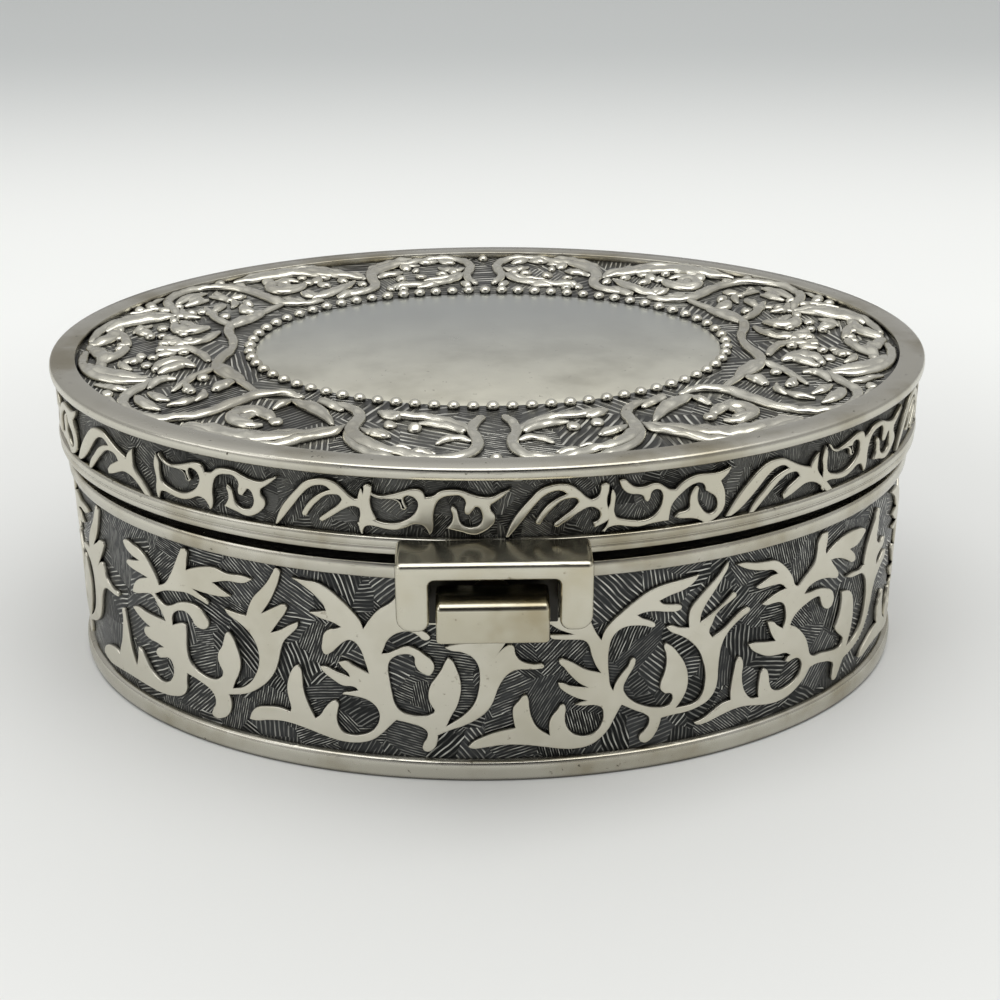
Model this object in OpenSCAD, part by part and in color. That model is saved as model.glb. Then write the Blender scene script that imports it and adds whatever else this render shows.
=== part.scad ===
// Oval keepsake box with a hinged lid and a push-button clasp.
// Millimetres. Origin at the middle of the base, +Z up, the clasp faces -Y.

/* [Overall] */
// Length of the lid's top rim, side to side
box_length = 150; // [144:1:160]
// Width of the lid's top rim, front to back
box_width = 112; // [108:1:120]
// Straight faces that make up each oval
oval_steps = 72; // [48:12:96]

/* [Body] */
// Height of the body's wall
body_height = 38.1; // [37:0.1:42]
// Height of the plain rim at the bottom
base_rim_height = 3.6; // [3:0.1:4.5]
// Height of the plain rim at the top
body_rim_height = 2.7; // [2:0.1:3.5]
// How far the plain rims stand inside the lid's top rim
body_inset = 1.6; // [1.2:0.1:2]
// How far the panel between the rims stands inside the lid's top rim
panel_inset = 2.6; // [2.3:0.1:3]
// How far the inner face stands inside the lid's top rim
bore_inset = 5; // [4.8:0.1:5.4]
// Thickness of the base plate
base_plate_thickness = 1.2; // [0.8:0.1:1.6]
// Thickness of the felt under the base plate
felt_thickness = 1.3; // [1:0.1:1.6]

/* [Lid] */
// Gap between the body and the shut lid
shut_gap = 1.9; // [1.5:0.1:2.2]
// Height of the lid
lid_height = 14.6; // [14:0.1:17]
// Height of the plain rim at the lid's lower edge
lid_rim_height = 2.9; // [2.4:0.1:3.2]
// How far the lower rim stands inside the top rim
lid_rim_inset = 0.5; // [0.3:0.1:0.8]
// How far the frieze stands inside the top rim
frieze_inset = 1.5; // [1.2:0.1:1.8]
// Height of the top rim's side face
top_rim_height = 2; // [1.6:0.1:2.6]
// Width of the flat top rim
top_rim_width = 4.3; // [3.8:0.1:5]
// How far the relief field lies below the top rim
field_depth = 1.1; // [0.8:0.1:1.4]
// Thickness of the lid's top under the relief field
lid_top_thickness = 1.9; // [1.5:0.1:2.4]

/* [Cover plate] */
// Length of the plain oval plate
plate_length = 80.4; // [76:0.2:84]
// Width of the plain oval plate
plate_width = 57; // [54:0.2:60]
// Height of the plate's edge above the floor of its seat
plate_edge = 0.9; // [0.7:0.1:1.2]
// Rise of the plate's middle above its edge
plate_crown = 0.4; // [0.2:0.1:0.8]
// Diameter of each bead
bead_diameter = 2; // [1.6:0.1:2.2]
// Number of beads round the plate
bead_count = 72; // [60:2:78]

/* [Clasp] */
// Width of the clasp bracket
bracket_width = 28.8; // [27:0.2:31]
// Height of the clasp bracket
bracket_height = 11.2; // [10:0.2:12]
// How far the bracket stands in front of the lid's top rim
bracket_reach = 7.2; // [6.5:0.1:8]
// Width of the arch in the bracket
arch_width = 19.1; // [18.4:0.1:20]
// Thickness of the bracket's bar above the arch
arch_bar = 2.9; // [2.5:0.1:3.2]
// Middle of the clasp, measured from the middle of the box
clasp_x = -0.6; // [-1:0.1:1]
// Width of the push button
button_width = 16.7; // [15.5:0.1:17.2]
// Height of the push button
button_height = 7; // [6.4:0.1:7.4]
// Thickness of the push button
button_depth = 5.6; // [5:0.1:6]
// Travel of the push button
button_travel = 1.6; // [1.2:0.1:1.6]
// Radius of the button's stem
stem_radius = 1.5; // [1.3:0.1:1.6]

/* [Hinge] */
// Length of the hinge
hinge_length = 24; // [20:1:28]
// Radius of the hinge's knuckles
knuckle_radius = 2; // [1.8:0.1:2.1]
// Radius of the hinge pin
pin_radius = 0.9; // [0.8:0.05:1]
// Angle at which the stop meets the body's leaf
lid_opening = 100; // [95:1:105]

/* [Lining] */
// Thickness of the lining round the walls
lining_thickness = 1.5; // [1.2:0.1:1.8]
// Rise of the lining above the body's wall, as a lip for the lid
lip_rise = 2.4; // [2:0.1:2.6]
// Height of the velvet pads at their middle
pad_height = 4.6; // [3.6:0.2:5]

/* [Hidden] */

$fn = 48;

// Clearances
running_fit = 0.05;
shank_fit = 0.03;
loose_fit = 0.1;

// Half axes of the ovals
rim_axes = [box_length / 2, box_width / 2];
plate_axes = [plate_length / 2, plate_width / 2];
bead_ring_gap = 1.05;
bead_axes = [plate_axes[0] + bead_ring_gap, plate_axes[1] + bead_ring_gap];

// The distance walked along the bead oval at each angle
walk_step = 2;
function walk_chord(angle) =
    norm(oval_point(bead_axes, 0, angle + walk_step, 0) - oval_point(bead_axes, 0, angle, 0));
bead_walk = [
    for (angle = 0, walked = 0; angle <= 360; walked = walked + walk_chord(angle), angle = angle + walk_step)
        [walked, angle]
];

// Heights
edge_soft = 0.4;
ledge_bottom = felt_thickness + base_plate_thickness;
ledge_thickness = 1.2;
ledge_width = 3;
floor_top = ledge_bottom + ledge_thickness;
lid_bottom = body_height + shut_gap;
lid_rim_top = lid_bottom + lid_rim_height;
box_top = lid_bottom + lid_height;
frieze_top = box_top - top_rim_height;
field_top = box_top - field_depth;
lid_ceiling = field_top - lid_top_thickness;
lid_bore_inset = top_rim_width + 0.1;

// Clasp
bracket_top = lid_rim_top;
bracket_bottom = bracket_top - bracket_height;
bracket_front = -rim_axes[1] - bracket_reach;
bracket_rear = -rim_axes[1] + 0.8;
bracket_leg_rear = -rim_axes[1] + 0.4;
bracket_screw_x = arch_width / 2 + 1.6;
bracket_screw_z = lid_rim_top - lid_rim_height / 2;
bracket_screw_seat = -rim_axes[1] + lid_bore_inset + 0.8;
bracket_screw_depth = 4.2;
bracket_round = 1.5;
leg_round = 2.2;
button_x = clasp_x - 0.25;
button_z = 33.1;
button_front = bracket_front + 0.2;
button_rear = button_front + button_depth;
button_round = 1.3;
spring_pocket_radius = 3.4;
spring_pocket_depth = 3;
stem_socket_depth = 1.2;
latch_boss_front = -rim_axes[1] + 1;
latch_boss_rear = -rim_axes[1] + 4.4;
latch_boss_width = 13;
latch_boss_bottom = 28.8;
bush_radius = 2.5;
bush_flange_radius = 3.5;
bush_flange = 0.7;
bush_inner_end = -rim_axes[1] + bore_inset + 2.6;
hook_front = bush_inner_end + loose_fit;
hook_thickness = 1;
hook_width = 5;
hook_top = body_height + 1.1;
hook_bottom = button_z - 2.4;
tooth_height = 1.6;
tooth_tip = hook_front - 2.1;
clip_radius = 2.2;
clip_thickness = 0.5;
stem_end = hook_front + hook_thickness + clip_thickness + 0.4;
striker_front = hook_front - 1.9;
striker_thickness = 0.8;
striker_width = 11;
striker_bottom = body_height - 2.1;
striker_top = lid_rim_top + 6.6;
striker_seat_front = -rim_axes[1] + lid_rim_inset + 1.5;
striker_seat_bottom = lid_rim_top + 0.4;
rivet_x = 4;
rivet_z = striker_top - 2.2;
window_width = 6.4;
window_bottom = hook_top - tooth_height - 0.2;
window_height = 2.8;
housing_width = 17;
housing_bottom = hook_bottom - 2.6;
housing_top = body_height - 0.1;
sheet = 0.6;
housing_rear = stem_end + button_travel + 0.3 + sheet;
housing_seat = -rim_axes[1] + bore_inset + 1;
housing_seat_root = -rim_axes[1] + 4;
housing_flange = housing_width + 6;
housing_flange_height = 4.8;
housing_screw_x = housing_width / 2 + 1.6;
housing_screw_z = housing_bottom + 2.4;

// Latch spring
spring_wire = 0.28;
spring_radius = 2.6;
spring_turns = 4.5;
spring_steps = 12;

// Hinge
hinge_y = rim_axes[1] + 1.9;
hinge_z = body_height + 0.95;
leaf_thickness = 0.8;
knuckle_gap = 0.3;
lid_knuckle = hinge_length / 3;
body_seat_y = rim_axes[1] - 1.4;
lid_seat_y = rim_axes[1] - 0.4;
body_seat_root = rim_axes[1] - 4.2;
lid_seat_root = rim_axes[1] - 3.6;
seat_margin = 0.8;
seat_width = hinge_length + 2 * seat_margin;
leaf_bottom = body_height - 7.6;
leaf_top = lid_bottom + 8.6;
body_screw_z = leaf_bottom + 3;
lid_screw_z = leaf_top - 2.6;
screw_reach = hinge_length / 3;
screw_hole_depth = 1.8;
screw_depth = 1.6;
stop_thickness = 0.8;
stop_reach = knuckle_radius + 0.72;
screw_radius = 0.8;
screw_head_radius = 1.4;
screw_head = 0.6;

// Lining
lining_outer = bore_inset + 0.05;
lining_inner = lining_outer + lining_thickness;
board_thickness = 1.2;
board_inset = lining_inner + 0.2;
pad_inset = lining_inner + 0.5;
latch_notch = housing_flange + 1.2;
lip_notch = bracket_width + 1;
lid_lining_outer = lid_bore_inset + 0.1;
lid_lining_inner = lid_lining_outer + 1.1;
lid_board_inset = lid_bore_inset + 0.2;
lid_pad_inset = lid_lining_inner + 2;

// A point on an oval that lies inset from the given half axes
function oval_point(axes, inset, angle, z) =
    [(axes[0] - inset) * cos(angle), (axes[1] - inset) * sin(angle), z];

// Two triangles between four points of a band
function band(a, b, c, d) = [[a, b, c], [a, c, d]];

// A ring whose section is the closed outline of [inset, height] pairs
module oval_ring(axes, outline) {
    count = len(outline);
    points = [
        for (i = [0:oval_steps - 1], p = outline)
            oval_point(axes, p[0], i * 360 / oval_steps, p[1])
    ];
    faces = [
        for (i = [0:oval_steps - 1], j = [0:count - 1])
            let (next_i = (i + 1) % oval_steps, next_j = (j + 1) % count)
            each band(i * count + j, i * count + next_j, next_i * count + next_j, next_i * count + j)
    ];
    polyhedron(points, faces);
}

// A solid oval whose edge follows [inset, height] pairs from the bottom up
module oval_mound(axes, edge) {
    count = len(edge);
    ring_points = [
        for (i = [0:oval_steps - 1], p = edge)
            oval_point(axes, p[0], i * 360 / oval_steps, p[1])
    ];
    low_centre = len(ring_points);
    high_centre = low_centre + 1;
    points = concat(ring_points, [[0, 0, edge[0][1]], [0, 0, edge[count - 1][1]]]);
    sides = [
        for (i = [0:oval_steps - 1], j = [0:count - 2])
            let (next_i = (i + 1) % oval_steps)
            each band(i * count + j, i * count + j + 1, next_i * count + j + 1, next_i * count + j)
    ];
    caps = [
        for (i = [0:oval_steps - 1])
            let (next_i = (i + 1) % oval_steps)
            each [
                [low_centre, i * count, next_i * count],
                [high_centre, next_i * count + count - 1, i * count + count - 1]
            ]
    ];
    polyhedron(points, concat(sides, caps));
}

// A flat oval plate between two heights
module oval_plate(axes, inset, bottom, top) {
    translate([0, 0, bottom])
        linear_extrude(top - bottom)
            polygon([
                for (i = [0:oval_steps - 1])
                    let (p = oval_point(axes, inset, i * 360 / oval_steps, 0))
                    [p[0], p[1]]
            ]);
}

// A box given by its middle in x and its span in y and z
module bar(middle_x, width, y0, y1, z0, z1) {
    translate([middle_x - width / 2, y0, z0])
        cube([width, y1 - y0, z1 - z0]);
}

// A round rod along y
module rod_y(x, z, radius, y0, y1) {
    translate([x, y0, z])
        rotate([-90, 0, 0])
            cylinder(r = radius, h = y1 - y0);
}

// A round rod along x
module rod_x(x0, x1, y, z, radius) {
    translate([x0, y, z])
        rotate([0, 90, 0])
            cylinder(r = radius, h = x1 - x0);
}

// A screw that points along -y, with its head outside
module hinge_screw(x, z, seat) {
    rod_y(x, z, screw_radius, seat - leaf_thickness - screw_depth, seat + 0.1);
    rod_y(x, z, screw_head_radius, seat, seat + screw_head);
}

// A rectangle with rounded corners, around its middle
module rounded_rect(width, height, radius) {
    for (sx = [-1, 1], sy = [-1, 1])
        translate([sx * (width / 2 - radius), sy * (height / 2 - radius)])
            circle(radius);
    square([width - 2 * radius, height], center = true);
    square([width, height - 2 * radius], center = true);
}

module body_shell() {
    color([0.66, 0.64, 0.58])
        difference() {
            union() {
                oval_ring(rim_axes, [
                    [bore_inset, 0],
                    [body_inset + edge_soft - 0.2, 0],
                    [body_inset - 0.2, edge_soft],
                    [body_inset - 0.2, base_rim_height - 2 * edge_soft],
                    [body_inset + edge_soft, base_rim_height],
                    [panel_inset, base_rim_height],
                    [panel_inset, body_height - body_rim_height],
                    [body_inset + edge_soft, body_height - body_rim_height],
                    [body_inset, body_height - body_rim_height + edge_soft],
                    [body_inset, body_height - edge_soft],
                    [body_inset + edge_soft, body_height],
                    [bore_inset, body_height],
                    [bore_inset, floor_top],
                    [bore_inset + ledge_width, floor_top],
                    [bore_inset + ledge_width, ledge_bottom],
                    [bore_inset, ledge_bottom]
                ]);
                bar(clasp_x, latch_boss_width, latch_boss_front, latch_boss_rear,
                    latch_boss_bottom, body_height);
                bar(0, seat_width, body_seat_root, body_seat_y, leaf_bottom - seat_margin, body_height);
                // The housing's flat seat inside the front wall
                bar(button_x, housing_flange, housing_seat_root, housing_seat, housing_bottom,
                    housing_bottom + housing_flange_height);
            }
            rod_y(button_x, button_z, bush_radius + shank_fit, -rim_axes[1], bush_inner_end);
            for (sx = [-1, 1])
                rod_y(sx * screw_reach, body_screw_z, screw_radius + shank_fit,
                    body_seat_y - screw_hole_depth, body_seat_y + 1);
            for (sx = [-1, 1])
                rod_y(button_x + sx * housing_screw_x, housing_screw_z, screw_radius + shank_fit,
                    housing_seat - screw_hole_depth, housing_seat + 1);
        }
}

module base_plate() {
    color([0.5, 0.5, 0.49])
        oval_plate(rim_axes, bore_inset + loose_fit, felt_thickness, ledge_bottom);
}

module base_felt() {
    color([0.12, 0.2, 0.15])
        oval_plate(rim_axes, bore_inset + loose_fit, 0, felt_thickness);
}

module wall_lining() {
    color([0.1, 0.08, 0.1])
        difference() {
            oval_ring(rim_axes, [
                [lining_inner, floor_top],
                [lining_outer, floor_top],
                [lining_outer, body_height + lip_rise - 2 * edge_soft],
                [lining_outer + lining_thickness / 2, body_height + lip_rise],
                [lining_inner, body_height + lip_rise - 2 * edge_soft]
            ]);
            bar(button_x, latch_notch, -rim_axes[1], -rim_axes[1] / 2, housing_bottom - 0.6, box_top);
            bar(clasp_x, lip_notch, -rim_axes[1], -rim_axes[1] / 2, body_height - 0.6, box_top);
        }
}

module base_board() {
    color([0.45, 0.4, 0.33])
        oval_plate(rim_axes, board_inset, floor_top, floor_top + board_thickness);
}

// A pad's edge: drawn in at its foot, full at its side and rising to a crown
function pad_edge(inset, foot, height, up) = [
    [inset + 1.2, foot],
    [inset + 0.2, foot + up * height * 0.12],
    [inset, foot + up * height * 0.3],
    [inset + 0.6, foot + up * height * 0.5],
    [inset + 2.4, foot + up * height * 0.68],
    [inset + 7, foot + up * height * 0.83],
    [inset + 16, foot + up * height * 0.94],
    [inset + 28, foot + up * height]
];

module base_pad() {
    color([0.3, 0.05, 0.12])
        oval_mound(rim_axes, pad_edge(pad_inset, floor_top + board_thickness, pad_height, 1));
}

module latch_bush() {
    color([0.72, 0.6, 0.35])
        difference() {
            union() {
                rod_y(button_x, button_z, bush_radius, latch_boss_front - loose_fit, bush_inner_end);
                rod_y(button_x, button_z, bush_flange_radius, latch_boss_front - bush_flange,
                    latch_boss_front);
            }
            rod_y(button_x, button_z, stem_radius + running_fit, -rim_axes[1] - 1, bush_inner_end + 1);
        }
}

// A coil that winds along y between two faces
module coil_y(x, z, y0, y1) {
    rings = spring_turns * spring_steps;
    sides = 6;
    span = y1 - y0 - 2 * spring_wire;
    points = [
        for (i = [0:rings], k = [0:sides - 1])
            let (
                turn = i * 360 / spring_steps,
                reach = spring_radius + spring_wire * cos(k * 360 / sides),
                along = y0 + spring_wire * (1 + sin(k * 360 / sides)) + span * i / rings
            )
            [x + reach * cos(turn), along, z + reach * sin(turn)]
    ];
    tube = [
        for (i = [0:rings - 1], k = [0:sides - 1])
            let (next_k = (k + 1) % sides)
            each band(i * sides + k, (i + 1) * sides + k, (i + 1) * sides + next_k, i * sides + next_k)
    ];
    start_cap = [for (k = [1:sides - 2]) [0, k, k + 1]];
    last = rings * sides;
    end_cap = [for (k = [1:sides - 2]) [last, last + k + 1, last + k]];
    polyhedron(points, concat(tube, start_cap, end_cap));
}

module latch_spring() {
    color([0.6, 0.6, 0.6])
        coil_y(button_x, button_z, button_rear - spring_pocket_depth + loose_fit,
            latch_boss_front - bush_flange - loose_fit);
}

module latch_housing() {
    color([0.66, 0.64, 0.58])
        difference() {
            union() {
                bar(button_x, housing_width, housing_seat, housing_rear, housing_bottom, housing_top);
                bar(button_x, housing_flange, housing_seat, housing_seat + sheet, housing_bottom,
                    housing_bottom + housing_flange_height);
            }
            bar(button_x, housing_width - 2 * sheet, -rim_axes[1], housing_rear - sheet,
                housing_bottom + sheet, housing_top + 1);
            for (sx = [-1, 1])
                rod_y(button_x + sx * housing_screw_x, housing_screw_z, screw_radius + shank_fit,
                    housing_seat - 1, housing_seat + 2);
        }
}

module housing_screws() {
    color([0.6, 0.58, 0.5])
        for (sx = [-1, 1]) {
            x = button_x + sx * housing_screw_x;
            rod_y(x, housing_screw_z, screw_radius, housing_seat - screw_depth,
                housing_seat + sheet + 0.1);
            rod_y(x, housing_screw_z, screw_head_radius, housing_seat + sheet,
                housing_seat + sheet + screw_head);
        }
}

// One leaf of the hinge, with its knuckles between the given pairs of x
module hinge_leaf(seat, z0, z1, web_z, screw_z, knuckles) {
    difference() {
        union() {
            bar(0, hinge_length, seat, seat + leaf_thickness, z0, z1);
            for (k = knuckles) {
                rod_x(k[0], k[1], hinge_y, hinge_z, knuckle_radius);
                bar((k[0] + k[1]) / 2, k[1] - k[0], seat, hinge_y, web_z, web_z + leaf_thickness);
            }
        }
        rod_x(-hinge_length, hinge_length, hinge_y, hinge_z, pin_radius + running_fit);
        for (sx = [-1, 1])
            rod_y(sx * screw_reach, screw_z, screw_radius + shank_fit, seat - 1, seat + 2);
    }
}

module hinge_leaf_body() {
    inner = lid_knuckle / 2 + knuckle_gap / 2;
    outer = hinge_length / 2;
    color([0.6, 0.58, 0.52])
        hinge_leaf(body_seat_y, leaf_bottom, body_height, hinge_z - knuckle_radius,
            body_screw_z, [[-outer, -inner], [inner, outer]]);
}

module hinge_leaf_lid() {
    inner = lid_knuckle / 2 - knuckle_gap / 2;
    stop_root = pin_radius + 0.3;
    // The stop points at the body's leaf when the lid is fully open
    stop_angle = atan2(-1.6, -2.2) + lid_opening;
    color([0.6, 0.58, 0.52]) {
        hinge_leaf(lid_seat_y, hinge_z + 2, leaf_top, hinge_z + knuckle_radius - leaf_thickness,
            lid_screw_z, [[-inner, inner]]);
        translate([0, hinge_y, hinge_z])
            rotate([stop_angle, 0, 0])
                translate([-inner, stop_root, -stop_thickness / 2])
                    cube([2 * inner, stop_reach - stop_root, stop_thickness]);
    }
}

module hinge_screws_body() {
    color([0.6, 0.58, 0.52])
        for (sx = [-1, 1])
            hinge_screw(sx * screw_reach, body_screw_z, body_seat_y + leaf_thickness);
}

module hinge_screws_lid() {
    color([0.6, 0.58, 0.52])
        for (sx = [-1, 1])
            hinge_screw(sx * screw_reach, lid_screw_z, lid_seat_y + leaf_thickness);
}

module hinge_pin() {
    color([0.75, 0.73, 0.68]) {
        rod_x(-hinge_length / 2 - 0.3, hinge_length / 2 + 0.3, hinge_y, hinge_z, pin_radius);
        for (side = [-1, 1])
            rod_x(side * (hinge_length / 2 + 0.45) - 0.3, side * (hinge_length / 2 + 0.45) + 0.3,
                hinge_y, hinge_z, pin_radius + 0.5);
    }
}

module push_button() {
    color([0.74, 0.72, 0.63])
        difference() {
            intersection() {
                translate([button_x, button_front, button_z])
                    rotate([-90, 0, 0])
                        linear_extrude(button_depth)
                            rounded_rect(button_width, button_height, 0.9);
                // The front edges at the top and the bottom are rounded
                translate([button_x - button_width, button_front, button_z - button_height / 2])
                    rotate([90, 0, 90])
                        linear_extrude(2 * button_width)
                            translate([button_depth, button_height / 2])
                                rounded_rect(2 * button_depth, button_height, button_round);
            }
            rod_y(button_x, button_z, spring_pocket_radius, button_rear - spring_pocket_depth,
                button_rear + 1);
            rod_y(button_x, button_z, stem_radius + shank_fit,
                button_rear - spring_pocket_depth - stem_socket_depth, button_rear);
        }
}

module button_stem() {
    color([0.6, 0.58, 0.52])
        rod_y(button_x, button_z, stem_radius, button_rear - spring_pocket_depth - stem_socket_depth,
            stem_end);
}

module latch_hook() {
    color([0.55, 0.55, 0.53])
        difference() {
            union() {
                bar(button_x, hook_width, hook_front, hook_front + hook_thickness, hook_bottom, hook_top);
                // The tooth slopes on top, so that the striker can push it aside as the lid shuts
                translate([button_x - hook_width / 2, 0, 0])
                    rotate([90, 0, 90])
                        linear_extrude(hook_width)
                            polygon([
                                [hook_front + hook_thickness / 2, hook_top - tooth_height],
                                [tooth_tip, hook_top - tooth_height],
                                [tooth_tip, hook_top - tooth_height + 0.5],
                                [hook_front + hook_thickness / 2, hook_top]
                            ]);
            }
            rod_y(button_x, button_z, stem_radius + shank_fit, hook_front - 1, hook_front + 2);
        }
}

module hook_clip() {
    start = hook_front + hook_thickness + 0.02;
    color([0.4, 0.4, 0.4])
        difference() {
            rod_y(button_x, button_z, clip_radius, start, start + clip_thickness);
            rod_y(button_x, button_z, stem_radius + shank_fit, start - 1, start + 1);
            bar(button_x, 1.6, start - 1, start + 1, button_z - clip_radius - 1, button_z);
        }
}

module lid_shell() {
    color([0.66, 0.64, 0.58])
        difference() {
            union() {
                oval_ring(rim_axes, [
                    [lid_bore_inset, lid_bottom],
                    [lid_rim_inset + edge_soft, lid_bottom],
                    [lid_rim_inset, lid_bottom + edge_soft],
                    [lid_rim_inset, lid_rim_top - edge_soft],
                    [lid_rim_inset + edge_soft, lid_rim_top],
                    [frieze_inset, lid_rim_top],
                    [frieze_inset, frieze_top],
                    [edge_soft, frieze_top],
                    [0, frieze_top + edge_soft],
                    [0, box_top - edge_soft],
                    [edge_soft, box_top],
                    [top_rim_width - 0.3, box_top],
                    [top_rim_width, box_top - 0.3],
                    [lid_bore_inset, field_top - 0.6]
                ]);
                oval_plate(rim_axes, top_rim_width - 1, lid_ceiling, field_top);
                bar(0, seat_width, lid_seat_root, lid_seat_y, lid_bottom, leaf_top + seat_margin);
                // The striker's flat seat inside the front wall
                bar(button_x, striker_width, striker_seat_front, striker_front, striker_seat_bottom,
                    striker_top + seat_margin);
            }
            translate([0, 0, field_top - plate_edge])
                oval_plate(plate_axes, -loose_fit, 0, plate_edge + 1);
            for (sx = [-1, 1])
                rod_y(sx * screw_reach, lid_screw_z, screw_radius + shank_fit,
                    lid_seat_y - screw_hole_depth, lid_seat_y + 1);
            for (sx = [-1, 1])
                rod_y(button_x + sx * rivet_x, rivet_z, screw_radius + shank_fit,
                    striker_front - screw_hole_depth, striker_front + 1);
            for (sx = [-1, 1]) {
                x = clasp_x + sx * bracket_screw_x;
                rod_y(x, bracket_screw_z, screw_radius + shank_fit, -rim_axes[1] - 1, bracket_screw_seat);
                rod_y(x, bracket_screw_z, screw_head_radius + loose_fit, bracket_screw_seat,
                    bracket_screw_seat + 1);
            }
        }
}

module cover_plate() {
    seat = field_top - plate_edge;
    color([0.6, 0.6, 0.57])
        oval_mound(plate_axes, [
            [0, seat],
            [0, seat + plate_edge - 0.2],
            [0.3, seat + plate_edge],
            [6, seat + plate_edge + plate_crown * 0.45],
            [14, seat + plate_edge + plate_crown * 0.85],
            [24, seat + plate_edge + plate_crown]
        ]);
}

module bead_border() {
    ring = bead_diameter * 0.3;
    color([0.7, 0.68, 0.6]) {
        oval_ring(bead_axes, [
            [ring, field_top],
            [-ring, field_top],
            [-ring, field_top + ring],
            [ring, field_top + ring]
        ]);
        for (i = [0:bead_count - 1]) {
            p = oval_point(bead_axes, 0, bead_angle(i), field_top + bead_diameter / 2);
            translate(p)
                sphere(d = bead_diameter, $fn = 24);
        }
    }
}

// The angle at which bead number i lies, with even steps along the oval
function bead_angle(i) = lookup(i * bead_walk[len(bead_walk) - 1][0] / bead_count, bead_walk);

module clasp_bracket() {
    depth = bracket_rear - bracket_front;
    arch_height = bracket_height - arch_bar;
    leg_width = (bracket_width - arch_width) / 2;
    color([0.72, 0.7, 0.62])
        difference() {
            intersection() {
                translate([clasp_x, bracket_rear, bracket_bottom])
                    rotate([90, 0, 0])
                        linear_extrude(depth)
                            bracket_face(arch_height, leg_width);
                // The top and the bottom of the front are rounded
                translate([clasp_x - bracket_width, bracket_front, bracket_bottom])
                    rotate([90, 0, 90])
                        linear_extrude(2 * bracket_width)
                            translate([depth, bracket_height / 2])
                                rounded_rect(2 * depth, bracket_height, bracket_round);
            }
            // The legs hang in front of the body, clear of its rim
            bar(clasp_x, bracket_width + 2, bracket_leg_rear, bracket_rear + 1, bracket_bottom - 1,
                lid_bottom - 0.2);
            oval_plate(rim_axes, lid_rim_inset - 0.02, lid_bottom - 0.3, lid_rim_top + 1);
            for (sx = [-1, 1])
                rod_y(clasp_x + sx * bracket_screw_x, bracket_screw_z, screw_radius + shank_fit,
                    bracket_front + bracket_screw_depth - 0.2, bracket_rear + 1);
        }
}

// The outline of the bracket's front: two legs with round feet under a bar
module bracket_face(arch_height, leg_width) {
    difference() {
        union() {
            for (sx = [-1, 1]) {
                leg_x = sx * (bracket_width - leg_width) / 2;
                translate([leg_x, (bracket_height - 1) / 2])
                    rounded_rect(leg_width, bracket_height - 1, leg_round);
            }
            translate([0, bracket_height / 2 + 2])
                rounded_rect(bracket_width, bracket_height - 4, 1);
        }
        translate([0, arch_height / 2 - 2])
            rounded_rect(arch_width, arch_height + 4, 1);
    }
}

module bracket_screws() {
    color([0.6, 0.58, 0.52])
        for (sx = [-1, 1]) {
            x = clasp_x + sx * bracket_screw_x;
            rod_y(x, bracket_screw_z, screw_radius, bracket_front + bracket_screw_depth,
                bracket_screw_seat + 0.1);
            rod_y(x, bracket_screw_z, screw_head_radius, bracket_screw_seat,
                bracket_screw_seat + screw_head);
        }
}

module lid_striker() {
    color([0.55, 0.55, 0.53])
        difference() {
            bar(button_x, striker_width, striker_front, striker_front + striker_thickness,
                striker_bottom, striker_top);
            bar(button_x, window_width, striker_front - 1, striker_front + 2, window_bottom,
                window_bottom + window_height);
            for (sx = [-1, 1])
                rod_y(button_x + sx * rivet_x, rivet_z, screw_radius + shank_fit,
                    striker_front - 1, striker_front + 2);
        }
}

module striker_rivets() {
    color([0.6, 0.58, 0.52])
        for (sx = [-1, 1]) {
            x = button_x + sx * rivet_x;
            rod_y(x, rivet_z, screw_radius, striker_front - screw_depth,
                striker_front + striker_thickness + 0.1);
            rod_y(x, rivet_z, screw_head_radius, striker_front + striker_thickness,
                striker_front + striker_thickness + screw_head);
        }
}

module lid_board() {
    color([0.45, 0.4, 0.33])
        oval_plate(rim_axes, lid_board_inset, lid_ceiling - board_thickness, lid_ceiling);
}

module lid_pad() {
    mirror([0, 0, 1])
        color([0.3, 0.05, 0.12])
            oval_mound(rim_axes, pad_edge(lid_pad_inset, board_thickness - lid_ceiling, pad_height * 0.8, 1));
}

module lid_lining() {
    low = body_height + lip_rise + 0.3;
    high = lid_ceiling - board_thickness;
    color([0.3, 0.05, 0.12])
        difference() {
            oval_ring(rim_axes, [
                [lid_lining_inner, low],
                [lid_lining_outer, low],
                [lid_lining_outer, high],
                [lid_lining_inner, high]
            ]);
            bar(clasp_x, lip_notch, -rim_axes[1], -rim_axes[1] / 2, low - 1, high + 1);
        }
}

body_shell();
base_plate();
base_felt();
wall_lining();
base_board();
base_pad();
latch_bush();
latch_spring();
latch_housing();
housing_screws();
hinge_leaf_body();
hinge_screws_body();
hinge_pin();
push_button();
button_stem();
latch_hook();
hook_clip();
lid_shell();
cover_plate();
bead_border();
clasp_bracket();
bracket_screws();
lid_striker();
striker_rivets();
hinge_leaf_lid();
hinge_screws_lid();
lid_board();
lid_pad();
lid_lining();
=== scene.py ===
import bisect
import math
import random

import bmesh
import bpy
from mathutils import Matrix, Vector
from mathutils import noise as lumpNoise


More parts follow.
